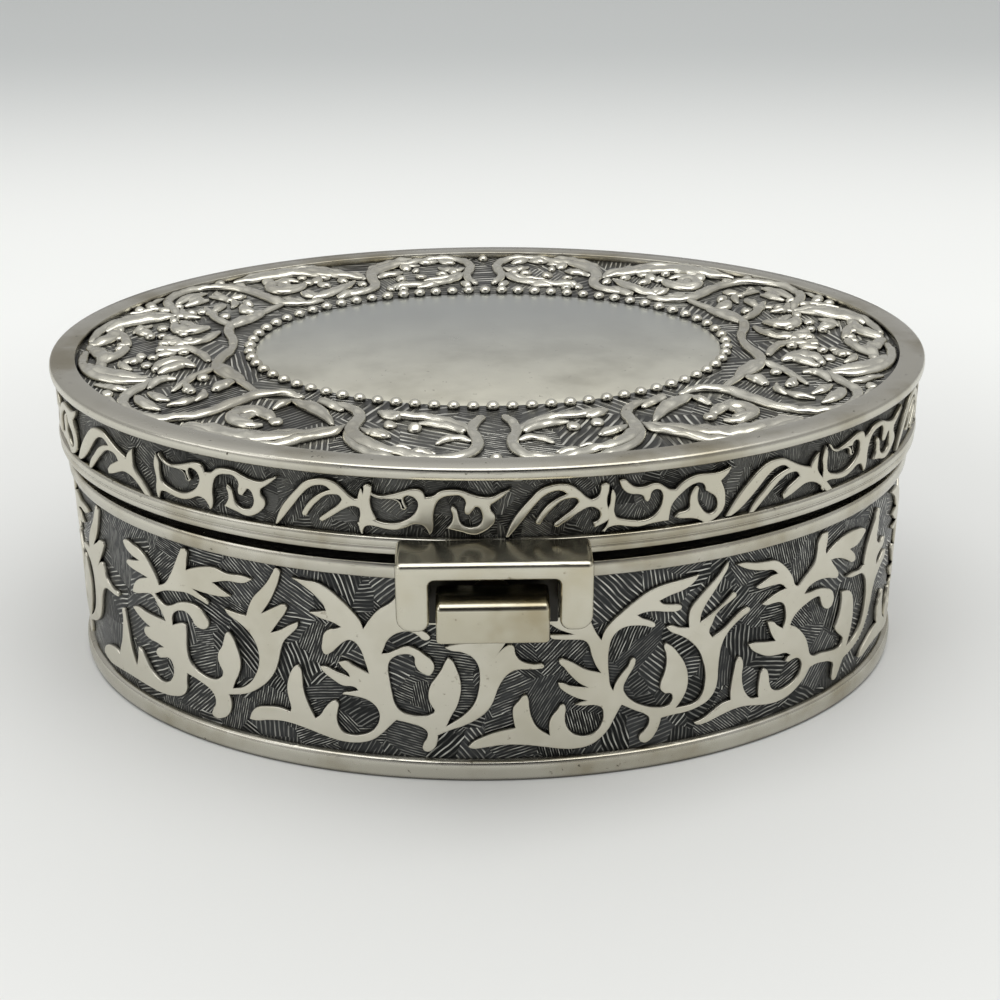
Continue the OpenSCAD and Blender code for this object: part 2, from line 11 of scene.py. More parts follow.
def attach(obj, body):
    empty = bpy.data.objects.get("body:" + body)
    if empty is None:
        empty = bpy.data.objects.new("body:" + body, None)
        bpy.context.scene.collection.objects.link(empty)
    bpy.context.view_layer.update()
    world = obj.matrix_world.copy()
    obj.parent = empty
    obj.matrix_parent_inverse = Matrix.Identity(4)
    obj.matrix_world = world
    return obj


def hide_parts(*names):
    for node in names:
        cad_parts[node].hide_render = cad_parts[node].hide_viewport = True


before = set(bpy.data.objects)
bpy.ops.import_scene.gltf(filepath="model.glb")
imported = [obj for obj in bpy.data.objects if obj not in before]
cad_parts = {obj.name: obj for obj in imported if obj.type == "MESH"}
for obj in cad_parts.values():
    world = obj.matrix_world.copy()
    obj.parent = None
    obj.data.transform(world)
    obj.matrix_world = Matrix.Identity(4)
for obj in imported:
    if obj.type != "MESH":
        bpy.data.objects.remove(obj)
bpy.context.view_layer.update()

# Everything is drawn in millimetres and scaled to metres in meshFrom
mm = 0.001
halfLength = 75.0
halfWidth = 56.0
fullTurn = 2 * math.pi
frontMiddle = -math.pi / 2


# Shapes

def newObject(name, mesh, body, materials):
    obj = bpy.data.objects.new(name, mesh)
    bpy.context.scene.collection.objects.link(obj)
    for material in materials:
        mesh.materials.append(material)
    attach(obj, body)
    return obj


def meshFrom(bm, name, smoothBelow):
    bmesh.ops.remove_doubles(bm, verts=bm.verts, dist=0.0005)
    bmesh.ops.recalc_face_normals(bm, faces=bm.faces)
    for face in bm.faces:
        face.smooth = True
    for edge in sharpEdges(bm, smoothBelow):
        edge.smooth = False
    bmesh.ops.scale(bm, vec=(mm, mm, mm), verts=bm.verts)
    mesh = bpy.data.meshes.new(name)
    bm.to_mesh(mesh)
    bm.free()
    return mesh


def addPiece(name, bm, body, material, smoothBelow=40):
    return newObject(name, meshFrom(bm, name, smoothBelow), body, [material])


def sharpEdges(bm, above):
    return [e for e in bm.edges if len(e.link_faces) == 2 and e.calc_face_angle(0) > math.radians(above)]


def allOf(bm):
    return bm.verts[:] + bm.edges[:] + bm.faces[:]


def spun(bm, corners, edges, steps):
    bmesh.ops.spin(bm, geom=corners + edges, axis=(0, 0, 1), cent=(0, 0, 0), angle=fullTurn,
                   steps=steps, use_merge=True)


# A round ring from a closed outline of (inset, z) pairs, still to be made oval
def lathe(outline, steps):
    bm = bmesh.new()
    corners = [bm.verts.new((halfLength - inset, 0, z)) for inset, z in outline]
    edges = [bm.edges.new(pair) for pair in zip(corners, corners[1:] + corners[:1])]
    spun(bm, corners, edges, steps)
    bmesh.ops.remove_doubles(bm, verts=bm.verts, dist=0.0005)
    bmesh.ops.recalc_face_normals(bm, faces=bm.faces)
    return bm


# Draws the front and back in, so that every ring keeps its width
def toOval(bm):
    squeeze = halfLength - halfWidth
    for vert in bm.verts:
        reach = math.hypot(vert.co.x, vert.co.y)
        if reach > 1e-6:
            vert.co.y *= (reach - squeeze) / reach


# A solid oval from (share of the way out, z) pairs, closed on its own axis
def disc(outline, axes, steps=200):
    bm = bmesh.new()
    corners = [bm.verts.new((share, 0, z)) for share, z in outline]
    edges = [bm.edges.new(pair) for pair in zip(corners, corners[1:])]
    spun(bm, corners, edges, steps)
    bmesh.ops.remove_doubles(bm, verts=bm.verts, dist=0.00001)
    bmesh.ops.scale(bm, vec=(axes[0], axes[1], 1), verts=bm.verts)
    return bm


def block(low, high, soft):
    bm = bmesh.new()
    middle = [(a + b) / 2 for a, b in zip(low, high)]
    size = [b - a for a, b in zip(low, high)]
    bmesh.ops.create_cube(bm, size=1, matrix=Matrix.Translation(middle) @ Matrix.Diagonal((*size, 1)))
    bmesh.ops.bevel(bm, geom=bm.edges[:], offset=soft, segments=2, profile=0.5, affect="EDGES",
                    material=-1)
    return bm


# A flat face pulled along a vector
def prism(corners, pull):
    bm = bmesh.new()
    face = bm.faces.new([bm.verts.new(corner) for corner in corners])
    grown = bmesh.ops.extrude_face_region(bm, geom=[face], use_keep_orig=True)
    moved = [v for v in grown["geom"] if isinstance(v, bmesh.types.BMVert)]
    bmesh.ops.translate(bm, vec=pull, verts=moved)
    bmesh.ops.recalc_face_normals(bm, faces=bm.faces)
    return bm


def knob(place, segments=14, rings=10):
    bm = bmesh.new()
    bmesh.ops.create_uvsphere(bm, u_segments=segments, v_segments=rings, radius=1.0, matrix=place)
    return bm


# One bmesh of many: adding to a growing one is slow
def joined(parts):
    whole = bmesh.new()
    for bm in parts:
        part = bpy.data.meshes.new("part")
        bm.to_mesh(part)
        bm.free()
        whole.from_mesh(part)
        bpy.data.meshes.remove(part)
    return whole


# Distance walked round an oval, with one more row than steps
def walkTable(axes, start, steps):
    rows = [0.0]
    for i in range(steps):
        here = start + fullTurn * i / steps
        there = start + fullTurn * (i + 1) / steps
        rows.append(rows[-1] + math.hypot(axes[0] * (math.cos(there) - math.cos(here)),
                                          axes[1] * (math.sin(there) - math.sin(here))))
    return rows


# The row, with its fraction, where the walk reaches a distance
def rowAt(table, distance):
    low = min(bisect.bisect_right(table, distance) - 1, len(table) - 2)
    return low + (distance - table[low]) / (table[low + 1] - table[low])


def wallTable(inset):
    return walkTable((halfLength - inset, halfWidth - inset), frontMiddle, 1440)


def wallAngle(table, distance):
    return frontMiddle + fullTurn * rowAt(table, distance % table[-1]) / (len(table) - 1)


def wallDistance(table, angle):
    steps = len(table) - 1
    place = ((angle - frontMiddle) / fullTurn % 1) * steps
    low = int(place)
    return table[low] + (table[min(low + 1, steps)] - table[low]) * (place - low)


panelInset = 2.0
friezeInset = 1.0
panelWalk = wallTable(panelInset)
friezeWalk = wallTable(friezeInset)


# The distance round the wall and the height become the UV, a tenth of a metre to one
def wallCoordinates(mesh, table, inset):
    layer = mesh.uv_layers.new(name="wall")
    total = table[-1]
    for face in mesh.polygons:
        spots = []
        for index in face.loop_indices:
            co = mesh.vertices[mesh.loops[index].vertex_index].co / mm
            angle = math.atan2(co.y / (halfWidth - inset), co.x / (halfLength - inset))
            spots.append([wallDistance(table, angle), co.z])
        # a face across the seam counts from before zero
        if max(s for s, z in spots) - min(s for s, z in spots) > total / 2:
            for spot in spots:
                if spot[0] > total / 2:
                    spot[0] -= total
        for index, (s, z) in zip(face.loop_indices, spots):
            layer.data[index].uv = (s / 100, z / 100)


# Nodes

def group(name, inputs, outputs):
    tree = bpy.data.node_groups.new(name, "ShaderNodeTree")
    for label, kind in inputs:
        tree.interface.new_socket(label, in_out="INPUT", socket_type="NodeSocket" + kind)
    for label in outputs:
        tree.interface.new_socket(label, in_out="OUTPUT", socket_type="NodeSocketFloat")
    return tree, tree.nodes.new("NodeGroupInput").outputs, tree.nodes.new("NodeGroupOutput").inputs


# A node's output is linked to a socket, and anything else is set on it
def feed(tree, socket, value):
    if isinstance(value, bpy.types.NodeSocket):
        tree.links.new(value, socket)
    else:
        socket.default_value = value


def addNode(tree, kind, values):
    node = tree.nodes.new("ShaderNode" + kind)
    for label, value in values.items():
        feed(tree, node.inputs[label], value)
    return node


def addGroup(tree, used, values):
    node = tree.nodes.new("ShaderNodeGroup")
    node.node_tree = used
    for label, value in values.items():
        feed(tree, node.inputs[label], value)
    return node.outputs


def maths(tree, operation, *values):
    node = tree.nodes.new("ShaderNodeMath")
    node.operation = operation
    for socket, value in zip(node.inputs, values):
        feed(tree, socket, value)
    return node.outputs[0]


def vectorMaths(tree, operation, *values):
    node = tree.nodes.new("ShaderNodeVectorMath")
    node.operation = operation
    for socket, value in zip(node.inputs, values):
        feed(tree, socket, value)
    return node.outputs


def mapRange(tree, value, fromLow, fromHigh, toLow=0.0, toHigh=1.0):
    node = addNode(tree, "MapRange", {"Value": value, "From Min": fromLow, "From Max": fromHigh,
                                      "To Min": toLow, "To Max": toHigh})
    node.interpolation_type = "SMOOTHSTEP"
    return node.outputs["Result"]


def noise(tree, vector, scale, detail=3.0, roughness=0.5, output="Fac"):
    return addNode(tree, "TexNoise", {"Vector": vector, "Scale": scale, "Detail": detail,
                                      "Roughness": roughness}).outputs[output]


def mixColour(tree, factor, first, second):
    node = tree.nodes.new("ShaderNodeMix")
    node.data_type = "RGBA"
    feed(tree, node.inputs[0], factor)
    for socket, value in ((node.inputs[6], first), (node.inputs[7], second)):
        feed(tree, socket, (*value, 1.0) if isinstance(value, tuple) else value)
    return node.outputs[2]


def separated(tree, vector):
    return addNode(tree, "SeparateXYZ", {"Vector": vector}).outputs


# Shares are of a patch's size or of the pitch between two ridges
chasing = {"warpScale": 2.0, "warp": 0.3, "wobbleScale": 1.6, "wobble": 0.9, "finest": 0.6,
           "coarsest": 1.3, "strokeLength": 6.0, "fadeFrom": 0.36, "fadeTo": 0.62, "faintStroke": 0.05,
           "faintPatch": 0.3, "patchSpread": 7.3}


# Patches of fine parallel ridges, each patch with its own slant
def makeHatch():
    tree, start, ends = group("hatchedGround", [
        ("Coordinates", "Vector"), ("Patch Scale", "Float"), ("Pitch", "Float"),
        ("Ridge Width", "Float"), ("Seed", "Float")], ["Ridge", "Height", "Shade"])
    warpScale = maths(tree, "MULTIPLY", start["Patch Scale"], chasing["warpScale"])
    warp = noise(tree, start["Coordinates"], warpScale, 2.0, 0.5, "Color")
    warpSize = maths(tree, "DIVIDE", chasing["warp"], start["Patch Scale"])
    amount = addNode(tree, "CombineXYZ", {"X": warpSize, "Y": warpSize, "Z": warpSize}).outputs[0]
    shifted = vectorMaths(tree, "MULTIPLY_ADD", warp, amount, start["Coordinates"])[0]
    cells = addNode(tree, "TexVoronoi", {"Vector": shifted, "Scale": start["Patch Scale"]})
    cells.feature = "F1"
    parts = addNode(tree, "SeparateColor", {"Color": cells.outputs["Color"]}).outputs
    slant = maths(tree, "MULTIPLY_ADD", parts[0], math.pi, start["Seed"])
    turn = addNode(tree, "VectorRotate", {"Vector": start["Coordinates"], "Angle": slant})
    turn.rotation_type = "Z_AXIS"
    axes = separated(tree, turn.outputs[0])
    wobbleScale = maths(tree, "MULTIPLY", start["Patch Scale"], chasing["wobbleScale"])
    wobble = noise(tree, start["Coordinates"], wobbleScale, 1.0)
    spread = mapRange(tree, parts[1], 0, 1, chasing["finest"], chasing["coarsest"])
    pitch = maths(tree, "MULTIPLY", start["Pitch"], spread)
    across = maths(tree, "DIVIDE", axes["X"], pitch)
    across = maths(tree, "ADD", across, maths(tree, "MULTIPLY", wobble, chasing["wobble"]))
    wave = maths(tree, "SINE", maths(tree, "MULTIPLY", across, fullTurn))
    height = mapRange(tree, wave, -0.7, 0.9)
    # the tool's strokes fade in and out along their length
    length = maths(tree, "MULTIPLY", pitch, chasing["strokeLength"])
    along = addNode(tree, "CombineXYZ", {"X": across, "Y": maths(tree, "DIVIDE", axes["Y"], length)})
    fade = noise(tree, along.outputs[0], 1.0, 2.0)
    strength = mapRange(tree, fade, chasing["fadeFrom"], chasing["fadeTo"], chasing["faintStroke"], 1.0)
    patch = maths(tree, "FRACT", maths(tree, "MULTIPLY", parts[0], chasing["patchSpread"]))
    patch = mapRange(tree, patch, 0.0, 0.6, chasing["faintPatch"], 1.0)
    strength = maths(tree, "MULTIPLY", strength, patch)
    doubled = maths(tree, "MULTIPLY", start["Ridge Width"], 2.0)
    ridge = mapRange(tree, wave, maths(tree, "SUBTRACT", 1.0, doubled), 0.95)
    tree.links.new(maths(tree, "MULTIPLY", ridge, strength), ends["Ridge"])
    tree.links.new(maths(tree, "MULTIPLY", height, strength), ends["Height"])
    tree.links.new(parts[2], ends["Shade"])
    return tree


wearSize = {"clouds": 45.0, "spots": 900.0, "scratches": 900.0, "haze": 160.0,
            "scratchStretch": (0.15, 1.6, 1.0), "scratchTurn": (0.0, 0.0, 0.5)}


# Cloudy wear, small spots and fine scratches
def makeWear():
    tree, start, ends = group("silverWear", [
        ("Coordinates", "Vector"), ("Tarnish", "Float"), ("Scratches", "Float")],
        ["Cloud", "Spots", "Height", "Haze"])
    place = start["Coordinates"]
    broad = noise(tree, place, wearSize["clouds"], 4.0, 0.6)
    fine = noise(tree, place, wearSize["spots"], 3.0, 0.6)
    stretch = addNode(tree, "Mapping", {"Vector": place, "Scale": wearSize["scratchStretch"],
                                        "Rotation": wearSize["scratchTurn"]})
    scratch = noise(tree, stretch.outputs[0], wearSize["scratches"], 2.0, 0.7)
    for label, value, low, high, amount in (
            ("Cloud", broad, 0.42, 0.7, "Tarnish"), ("Spots", fine, 0.66, 0.78, "Tarnish"),
            ("Height", scratch, 0.6, 0.75, "Scratches")):
        shown = maths(tree, "MULTIPLY", mapRange(tree, value, low, high), start[amount])
        tree.links.new(shown, ends[label])
    tree.links.new(noise(tree, place, wearSize["haze"]), ends["Haze"])
    return tree


# The patina that stays where two forms stand close together, with painted shade: an occlusion mask darkens
# the colour there, where shade falls
def makePatinaShadeMask():
    tree, start, ends = group("patina_and_painted_shade", [("Reach", "Float"), ("Strength", "Float")], ["Mask"])
    nearPaintedShade = addNode(tree, "AmbientOcclusion", {"Distance": start["Reach"]})
    nearPaintedShade.samples = 6
    shade = mapRange(tree, nearPaintedShade.outputs["AO"], 0.4, 0.92, 1.0, 0.0)
    tree.links.new(maths(tree, "MULTIPLY", shade, start["Strength"]), ends["Mask"])
    return tree


patinaShadeMaskGroup = makePatinaShadeMask()
hatchGroup = makeHatch()
wearGroup = makeWear()


# Finishes

def newMaterial(name):
    material = bpy.data.materials.new(name)
    material.use_nodes = True
    tree = material.node_tree
    return material, tree, tree.nodes["Principled BSDF"], tree.nodes.new("ShaderNodeTexCoord").outputs


# Mixes the colour towards near black where the occlusion mask finds forms close together: patina in the
# hollows with painted shade
def inPatinaAndPaintedShade(tree, colour, look, patinaAndShadeColour):
    reach, strength = look["patina_and_painted_shade"]
    mask = addGroup(tree, patinaShadeMaskGroup, {"Reach": reach, "Strength": strength})["Mask"]
    return mixColour(tree, mask, colour, patinaAndShadeColour)


def dress(tree, shader, values, height, strength, distance):
    for label, value in values.items():
        feed(tree, shader.inputs[label], value)
    bump = addNode(tree, "Bump", {"Strength": strength, "Distance": distance, "Height": height})
    tree.links.new(bump.outputs[0], shader.inputs["Normal"])


def silver(name, look):
    material, tree, shader, place = newMaterial(name)
    wear = addGroup(tree, wearGroup, {"Coordinates": place["Object"], "Tarnish": look["tarnish"],
                                      "Scratches": look["scratches"]})
    colour = mixColour(tree, wear["Cloud"], look["colour"], look["tarnished"])
    colour = mixColour(tree, wear["Spots"], colour, look["spot"])
    # Painted reflection: the colour turns darker and cooler towards the far side, standing in for the grey
    # backdrop that the plate reflects there
    if "paintedFarReflection" in look:
        far = mapRange(tree, separated(tree, place["Object"])["Y"], *look["paintedReflectionSpan"])
        colour = mixColour(tree, far, colour, look["paintedFarReflection"])
    # Patina in the hollows with painted shade, from the occlusion mask
    if "patina_and_painted_shade" in look:
        colour = inPatinaAndPaintedShade(tree, colour, look, (0.02, 0.019, 0.016))
    rough = maths(tree, "MULTIPLY_ADD", wear["Haze"], look["haze"], look["roughness"])
    dress(tree, shader, {"Base Color": colour, "Metallic": 1.0, "Roughness": rough},
          wear["Height"], look["bump"], 0.00005)
    return material


# The dark ground, with ridges left bright by the chasing tool
def chased(name, look, coordinates):
    material, tree, shader, place = newMaterial(name)
    hatch = addGroup(tree, hatchGroup, {
        "Coordinates": place[coordinates], "Patch Scale": look["patchScale"], "Pitch": look["pitch"],
        "Ridge Width": look["ridgeWidth"], "Seed": look["seed"]})
    base = mixColour(tree, hatch["Shade"], look["dark"], look["darker"])
    colour = mixColour(tree, hatch["Ridge"], base, look["ridge"])
    # Patina in the hollows of the ground with painted shade, from the occlusion mask
    colour = inPatinaAndPaintedShade(tree, colour, look, (0.006, 0.006, 0.006))
    dress(tree, shader, {"Base Color": colour, "Metallic": look["metallic"],
                         "Roughness": look["roughness"]}, hatch["Height"], 1.0, 0.0002)
    return material


# A hidden part's metal or card: cloudy in tone and gloss, with a fine grain
def plain(name, look):
    material, tree, shader, place = newMaterial(name)
    cloud = noise(tree, place["Object"], look["cloudScale"], 4.0, 0.6)
    grain = noise(tree, place["Object"], look["grainScale"], 3.0, 0.6)
    worn = tuple(part * look["worn"] for part in look["colour"])
    colour = mixColour(tree, mapRange(tree, cloud, 0.35, 0.7), look["colour"], worn)
    rough = mapRange(tree, cloud, 0.3, 0.7, look["roughness"] - 0.06, look["roughness"] + 0.08)
    dress(tree, shader, {"Base Color": colour, "Metallic": look["metallic"], "Roughness": rough},
          grain, 0.4, look["grainHeight"])
    return material


def velvet(name, look):
    material, tree, shader, place = newMaterial(name)
    pile = noise(tree, place["Object"], look["pileScale"], 2.0)
    crush = noise(tree, place["Object"], look["crushScale"], 3.0)
    colour = mixColour(tree, mapRange(tree, crush, 0.35, 0.65), look["dark"], look["light"])
    dress(tree, shader, {"Base Color": colour, "Roughness": 1.0, "Sheen Weight": look["sheen"],
                         "Sheen Roughness": 0.4, "Specular IOR Level": 0.1}, pile, 0.5, 0.0003)
    return material


# A look's pair for the hollows gives the reach in metres and the strength of the occlusion mask that
# paints patina and shade into them
castLook = {"colour": (0.56, 0.54, 0.47), "tarnished": (0.34, 0.305, 0.22), "spot": (0.07, 0.06, 0.04),
            "tarnish": 1.0, "scratches": 0.7, "roughness": 0.13, "haze": 0.2, "bump": 0.4,
            "patina_and_painted_shade": (0.0009, 0.8)}
leafLook = {"colour": (0.66, 0.635, 0.545), "tarnished": (0.52, 0.49, 0.39), "spot": (0.26, 0.22, 0.16),
            "tarnish": 0.75, "scratches": 0.5, "roughness": 0.28, "haze": 0.2, "bump": 0.35,
            "patina_and_painted_shade": (0.0006, 1.0)}
# The plate's far side carries a painted reflection of the grey backdrop, greyer and cooler than the rest
plateLook = {"colour": (0.96, 0.93, 0.78), "tarnished": (0.62, 0.59, 0.47), "spot": (0.3, 0.27, 0.2),
             "tarnish": 0.8, "scratches": 0.8, "roughness": 0.22, "haze": 0.2, "bump": 0.35,
             "paintedFarReflection": (0.545, 0.56, 0.54), "paintedReflectionSpan": (-0.034, 0.022)}
reliefLook = {"colour": (0.68, 0.66, 0.575), "tarnished": (0.42, 0.39, 0.31), "spot": (0.12, 0.1, 0.07),
              "tarnish": 0.5, "scratches": 0.3, "roughness": 0.15, "haze": 0.16, "bump": 0.4,
              "patina_and_painted_shade": (0.0008, 1.0)}
claspLook = {"colour": (0.6, 0.575, 0.48), "tarnished": (0.47, 0.415, 0.285), "spot": (0.16, 0.13, 0.08),
             "tarnish": 0.9, "scratches": 0.5, "roughness": 0.12, "haze": 0.24, "bump": 0.5,
             "patina_and_painted_shade": (0.0004, 0.9)}
buttonLook = {"colour": (0.53, 0.5, 0.4), "tarnished": (0.34, 0.29, 0.18), "spot": (0.16, 0.13, 0.08),
              "tarnish": 1.0, "scratches": 0.5, "roughness": 0.1, "haze": 0.2, "bump": 0.3,
              "patina_and_painted_shade": (0.0006, 0.9)}
# Patch scale and pitch are in UV units on the walls, and in metres on the lid's field
panelGround = {"patchScale": 14.0, "pitch": 0.0064, "ridgeWidth": 0.34, "seed": 0.0,
               "dark": (0.05, 0.052, 0.053), "darker": (0.005, 0.006, 0.006),
               "ridge": (0.66, 0.66, 0.61), "metallic": 0.75, "roughness": 0.34,
               "patina_and_painted_shade": (0.0012, 1.0)}
friezeGround = {"patchScale": 34.0, "pitch": 0.0042, "ridgeWidth": 0.34, "seed": 1.9,
                "dark": (0.085, 0.085, 0.08), "darker": (0.012, 0.012, 0.011),
                "ridge": (0.44, 0.44, 0.4), "metallic": 0.75, "roughness": 0.36,
                "patina_and_painted_shade": (0.001, 0.9)}
fieldGround = {"patchScale": 85.0, "pitch": 0.00115, "ridgeWidth": 0.42, "seed": 0.8,
               "dark": (0.11, 0.11, 0.1), "darker": (0.012, 0.012, 0.011),
               "ridge": (0.92, 0.91, 0.83), "metallic": 0.85, "roughness": 0.3,
               "patina_and_painted_shade": (0.001, 0.95)}
metalLook = {"metallic": 1.0, "cloudScale": 260.0, "grainScale": 2600.0, "grainHeight": 0.00003,
             "worn": 0.75}
castSilver = silver("cast_silver", castLook)
leafSilver = silver("leaf_silver", leafLook)
friezeSilver = silver("frieze_silver", dict(leafLook, colour=(0.57, 0.545, 0.46), roughness=0.2))
plateSilver = silver("plate_silver", plateLook)
reliefSilver = silver("relief_silver", reliefLook)
claspSilver = silver("clasp_silver", claspLook)
buttonSilver = silver("button_silver", buttonLook)
panelDark = chased("panel_ground", panelGround, "UV")
friezeDark = chased("frieze_ground", friezeGround, "UV")
fieldDark = chased("field_ground", fieldGround, "Object")
# Painted shade: the latch boss is coloured near black to stand for the shade inside the bracket's arch
bossPaintedShade = plain("boss_painted_shade", dict(metalLook, colour=(0.03, 0.028, 0.024), metallic=0.8, roughness=0.4))
steel = plain("fastener_steel", dict(metalLook, colour=(0.55, 0.54, 0.5), roughness=0.35))
latchSteel = plain("latch_steel", dict(metalLook, colour=(0.45, 0.45, 0.44), roughness=0.4))
brass = plain("bush_brass", dict(metalLook, colour=(0.16, 0.12, 0.07), roughness=0.35))
baseSteel = plain("base_steel", dict(metalLook, colour=(0.4, 0.4, 0.39), roughness=0.45, cloudScale=60.0))
card = plain("card", {"colour": (0.024, 0.023, 0.022), "metallic": 0.0, "roughness": 0.9, "worn": 0.7,
                      "cloudScale": 120.0, "grainScale": 1800.0, "grainHeight": 0.0001})
blackVelvet = velvet("velvet", {"dark": (0.006, 0.006, 0.007), "light": (0.014, 0.014, 0.016),
                                "sheen": 0.25, "pileScale": 3500.0, "crushScale": 90.0})
blackFelt = velvet("felt", {"dark": (0.012, 0.012, 0.012), "light": (0.02, 0.02, 0.02),
                            "sheen": 0.1, "pileScale": 2500.0, "crushScale": 200.0})
print("finishes made")


# Castings: a ground is its inset and the heights between which it shows

casting = {"steps": 240, "rimSoft": 0.12, "groundNear": 0.3}
bodyForm = {"ground": (2.6, 3.7, 35.3), "outline": [
    (5.0, 0.0), (1.75, 0.0), (1.55, 0.35), (1.42, 1.1), (1.4, 2.1), (1.48, 2.8), (1.7, 3.3), (2.2, 3.55),
    (2.6, 3.6), (2.6, 35.4), (2.1, 35.4), (1.72, 35.6), (1.52, 36.1), (1.46, 36.9), (1.5, 37.6),
    (1.75, 38.1), (5.0, 38.1), (5.0, 3.7), (8.0, 3.7), (8.0, 2.5), (5.0, 2.5)]}
lidForm = {"ground": (1.5, 43.0, 52.5), "outline": [
    (4.4, 40.0), (0.95, 40.0), (0.7, 40.2), (0.56, 40.6), (0.56, 41.0), (0.74, 41.35), (0.58, 41.6),
    (0.46, 42.0), (0.46, 42.4), (0.62, 42.8), (0.95, 42.95), (1.5, 43.0), (1.5, 52.5), (0.75, 52.5),
    (0.35, 52.6), (0.1, 52.9), (0.0, 53.5), (0.05, 54.05), (0.22, 54.4), (0.6, 54.6), (4.3, 54.6),
    (4.45, 53.4), (4.4, 51.6)]}


def castRing(name, form, body, ground, table):
    bm = lathe(form["outline"], casting["steps"])
    inset, low, high = form["ground"]
    for face in bm.faces:
        middle = face.calc_center_median()
        reach = math.hypot(middle.x, middle.y)
        if abs(reach - (halfLength - inset)) < casting["groundNear"] and low < middle.z < high:
            face.material_index = 1
    rims = [e for e in sharpEdges(bm, 35) if all(f.material_index == 0 for f in e.link_faces)]
    bmesh.ops.bevel(bm, geom=rims, offset=casting["rimSoft"], segments=3, profile=0.5,
                    affect="EDGES", material=-1)
    toOval(bm)
    mesh = meshFrom(bm, name, 40)
    wallCoordinates(mesh, table, inset)
    return newObject(name, mesh, body, [castSilver, ground])


bodyCasting = castRing("body_casting", bodyForm, "box", panelDark, panelWalk)
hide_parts("body_shell")
lidCasting = castRing("lid_casting", lidForm, "lid", friezeDark, friezeWalk)

# Flats on the walls, which carry the latch and the hinge
seats = {"soft": 0.25,
         # the latch boss wears painted shade, near black like the shade inside the arch
         "latch_boss": ((-10.4, -55.0, 28.8), (9.2, -52.5, 38.1), "box", bossPaintedShade),
         "hinge_pad_body": ((-12.8, 51.8, 29.7), (12.8, 54.6, 38.1), "box", castSilver),
         "hinge_pad_lid": ((-12.8, 52.4, 40.0), (12.8, 55.6, 49.4), "lid", castSilver)}
for name in ("latch_boss", "hinge_pad_body", "hinge_pad_lid"):
    low, high, body, material = seats[name]
    addPiece(name, block(low, high, seats["soft"]), body, material)

plate = {"axes": (40.2, 28.5), "outline": [
    (0, 52.62), (1.0, 52.62), (1.0, 53.45), (0.992, 53.52), (0.93, 53.6), (0.85, 53.68), (0.7, 53.79),
    (0.5, 53.87), (0.25, 53.9), (0, 53.9)]}
field = {"top": 53.5, "under": 51.6, "outer": 4.0, "middle": 20.0, "inner": 36.0}
ceiling = {"axes": (42.0, 30.4), "outline": [(0, 51.6), (1, 51.6), (1, 52.55), (0, 52.55)]}


# The lid's field, whose inner edge follows the plate's own oval
def makeField():
    top, under, outer, inner = field["top"], field["under"], field["outer"], field["inner"]
    bm = lathe([(outer, top), (field["middle"], top), (inner, top), (inner, under), (outer, under)],
               casting["steps"])
    toOval(bm)
    long, wide = halfLength - inner, halfWidth - inner
    for vert in bm.verts:
        if abs(math.hypot(vert.co.x / long, vert.co.y / wide) - 1) < 0.01:
            angle = math.atan2(vert.co.y / wide, vert.co.x / long)
            vert.co.x = plate["axes"][0] * math.cos(angle)
            vert.co.y = plate["axes"][1] * math.sin(angle)
    addPiece("lid_field", bm, "lid", fieldDark)


makeField()
addPiece("lid_ceiling", disc(ceiling["outline"], ceiling["axes"]), "lid", castSilver)
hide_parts("lid_shell")
coverPlate = addPiece("cover_plate_smooth", disc(plate["outline"], plate["axes"]), "lid", plateSilver)
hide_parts("cover_plate")
print("castings made")


# Beads round the plate

beads = {"count": 72, "axes": (41.25, 29.55), "radius": 1.04, "height": 53.82, "flat": 0.82,
         "jitter": 0.05, "walkSteps": 720}


def makeBeads():
    rng = random.Random(4)
    long, wide = beads["axes"]
    walk = walkTable(beads["axes"], 0.0, beads["walkSteps"])
    row = []
    for i in range(beads["count"]):
        angle = fullTurn * rowAt(walk, walk[-1] * i / beads["count"]) / beads["walkSteps"]
        spot = Vector((long * math.cos(angle), wide * math.sin(angle), beads["height"]))
        size = beads["radius"] * (1 + rng.uniform(-1, 1) * beads["jitter"])
        form = Matrix.Diagonal((size, size, size * beads["flat"], 1))
        row.append(knob(Matrix.Translation(spot) @ form, 20, 12))
    return joined(row)


beadRow = addPiece("bead_row", makeBeads(), "lid", reliefSilver)
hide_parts("bead_border")


# Clasp

clasp = {"middle": -0.6, "width": 28.8, "bottom": 31.7, "top": 42.9, "front": -63.2, "rear": -55.2,
         "archWidth": 19.1, "bar": 2.9, "soft": 0.9, "shoulder": 0.9, "foot": 2.2, "heel": 1.6,
         "crook": 0.9}
button = {"middle": -0.85, "width": 16.7, "low": 29.6, "high": 36.6, "front": -63.0, "rear": -57.4,
          "cornerSoft": 0.7, "crownDepth": 2.9, "crownRise": 1.7, "footSoft": 0.5,
          "footTurns": (0.4, 0.8, 1.2, math.pi / 2), "crownSteps": 10}


def cornerArc(x, z, radius, start, steps=5, sweep=90):
    turns = [math.radians(start + sweep * i / steps) for i in range(steps + 1)]
    return [(x + radius * math.cos(turn), z + radius * math.sin(turn)) for turn in turns]


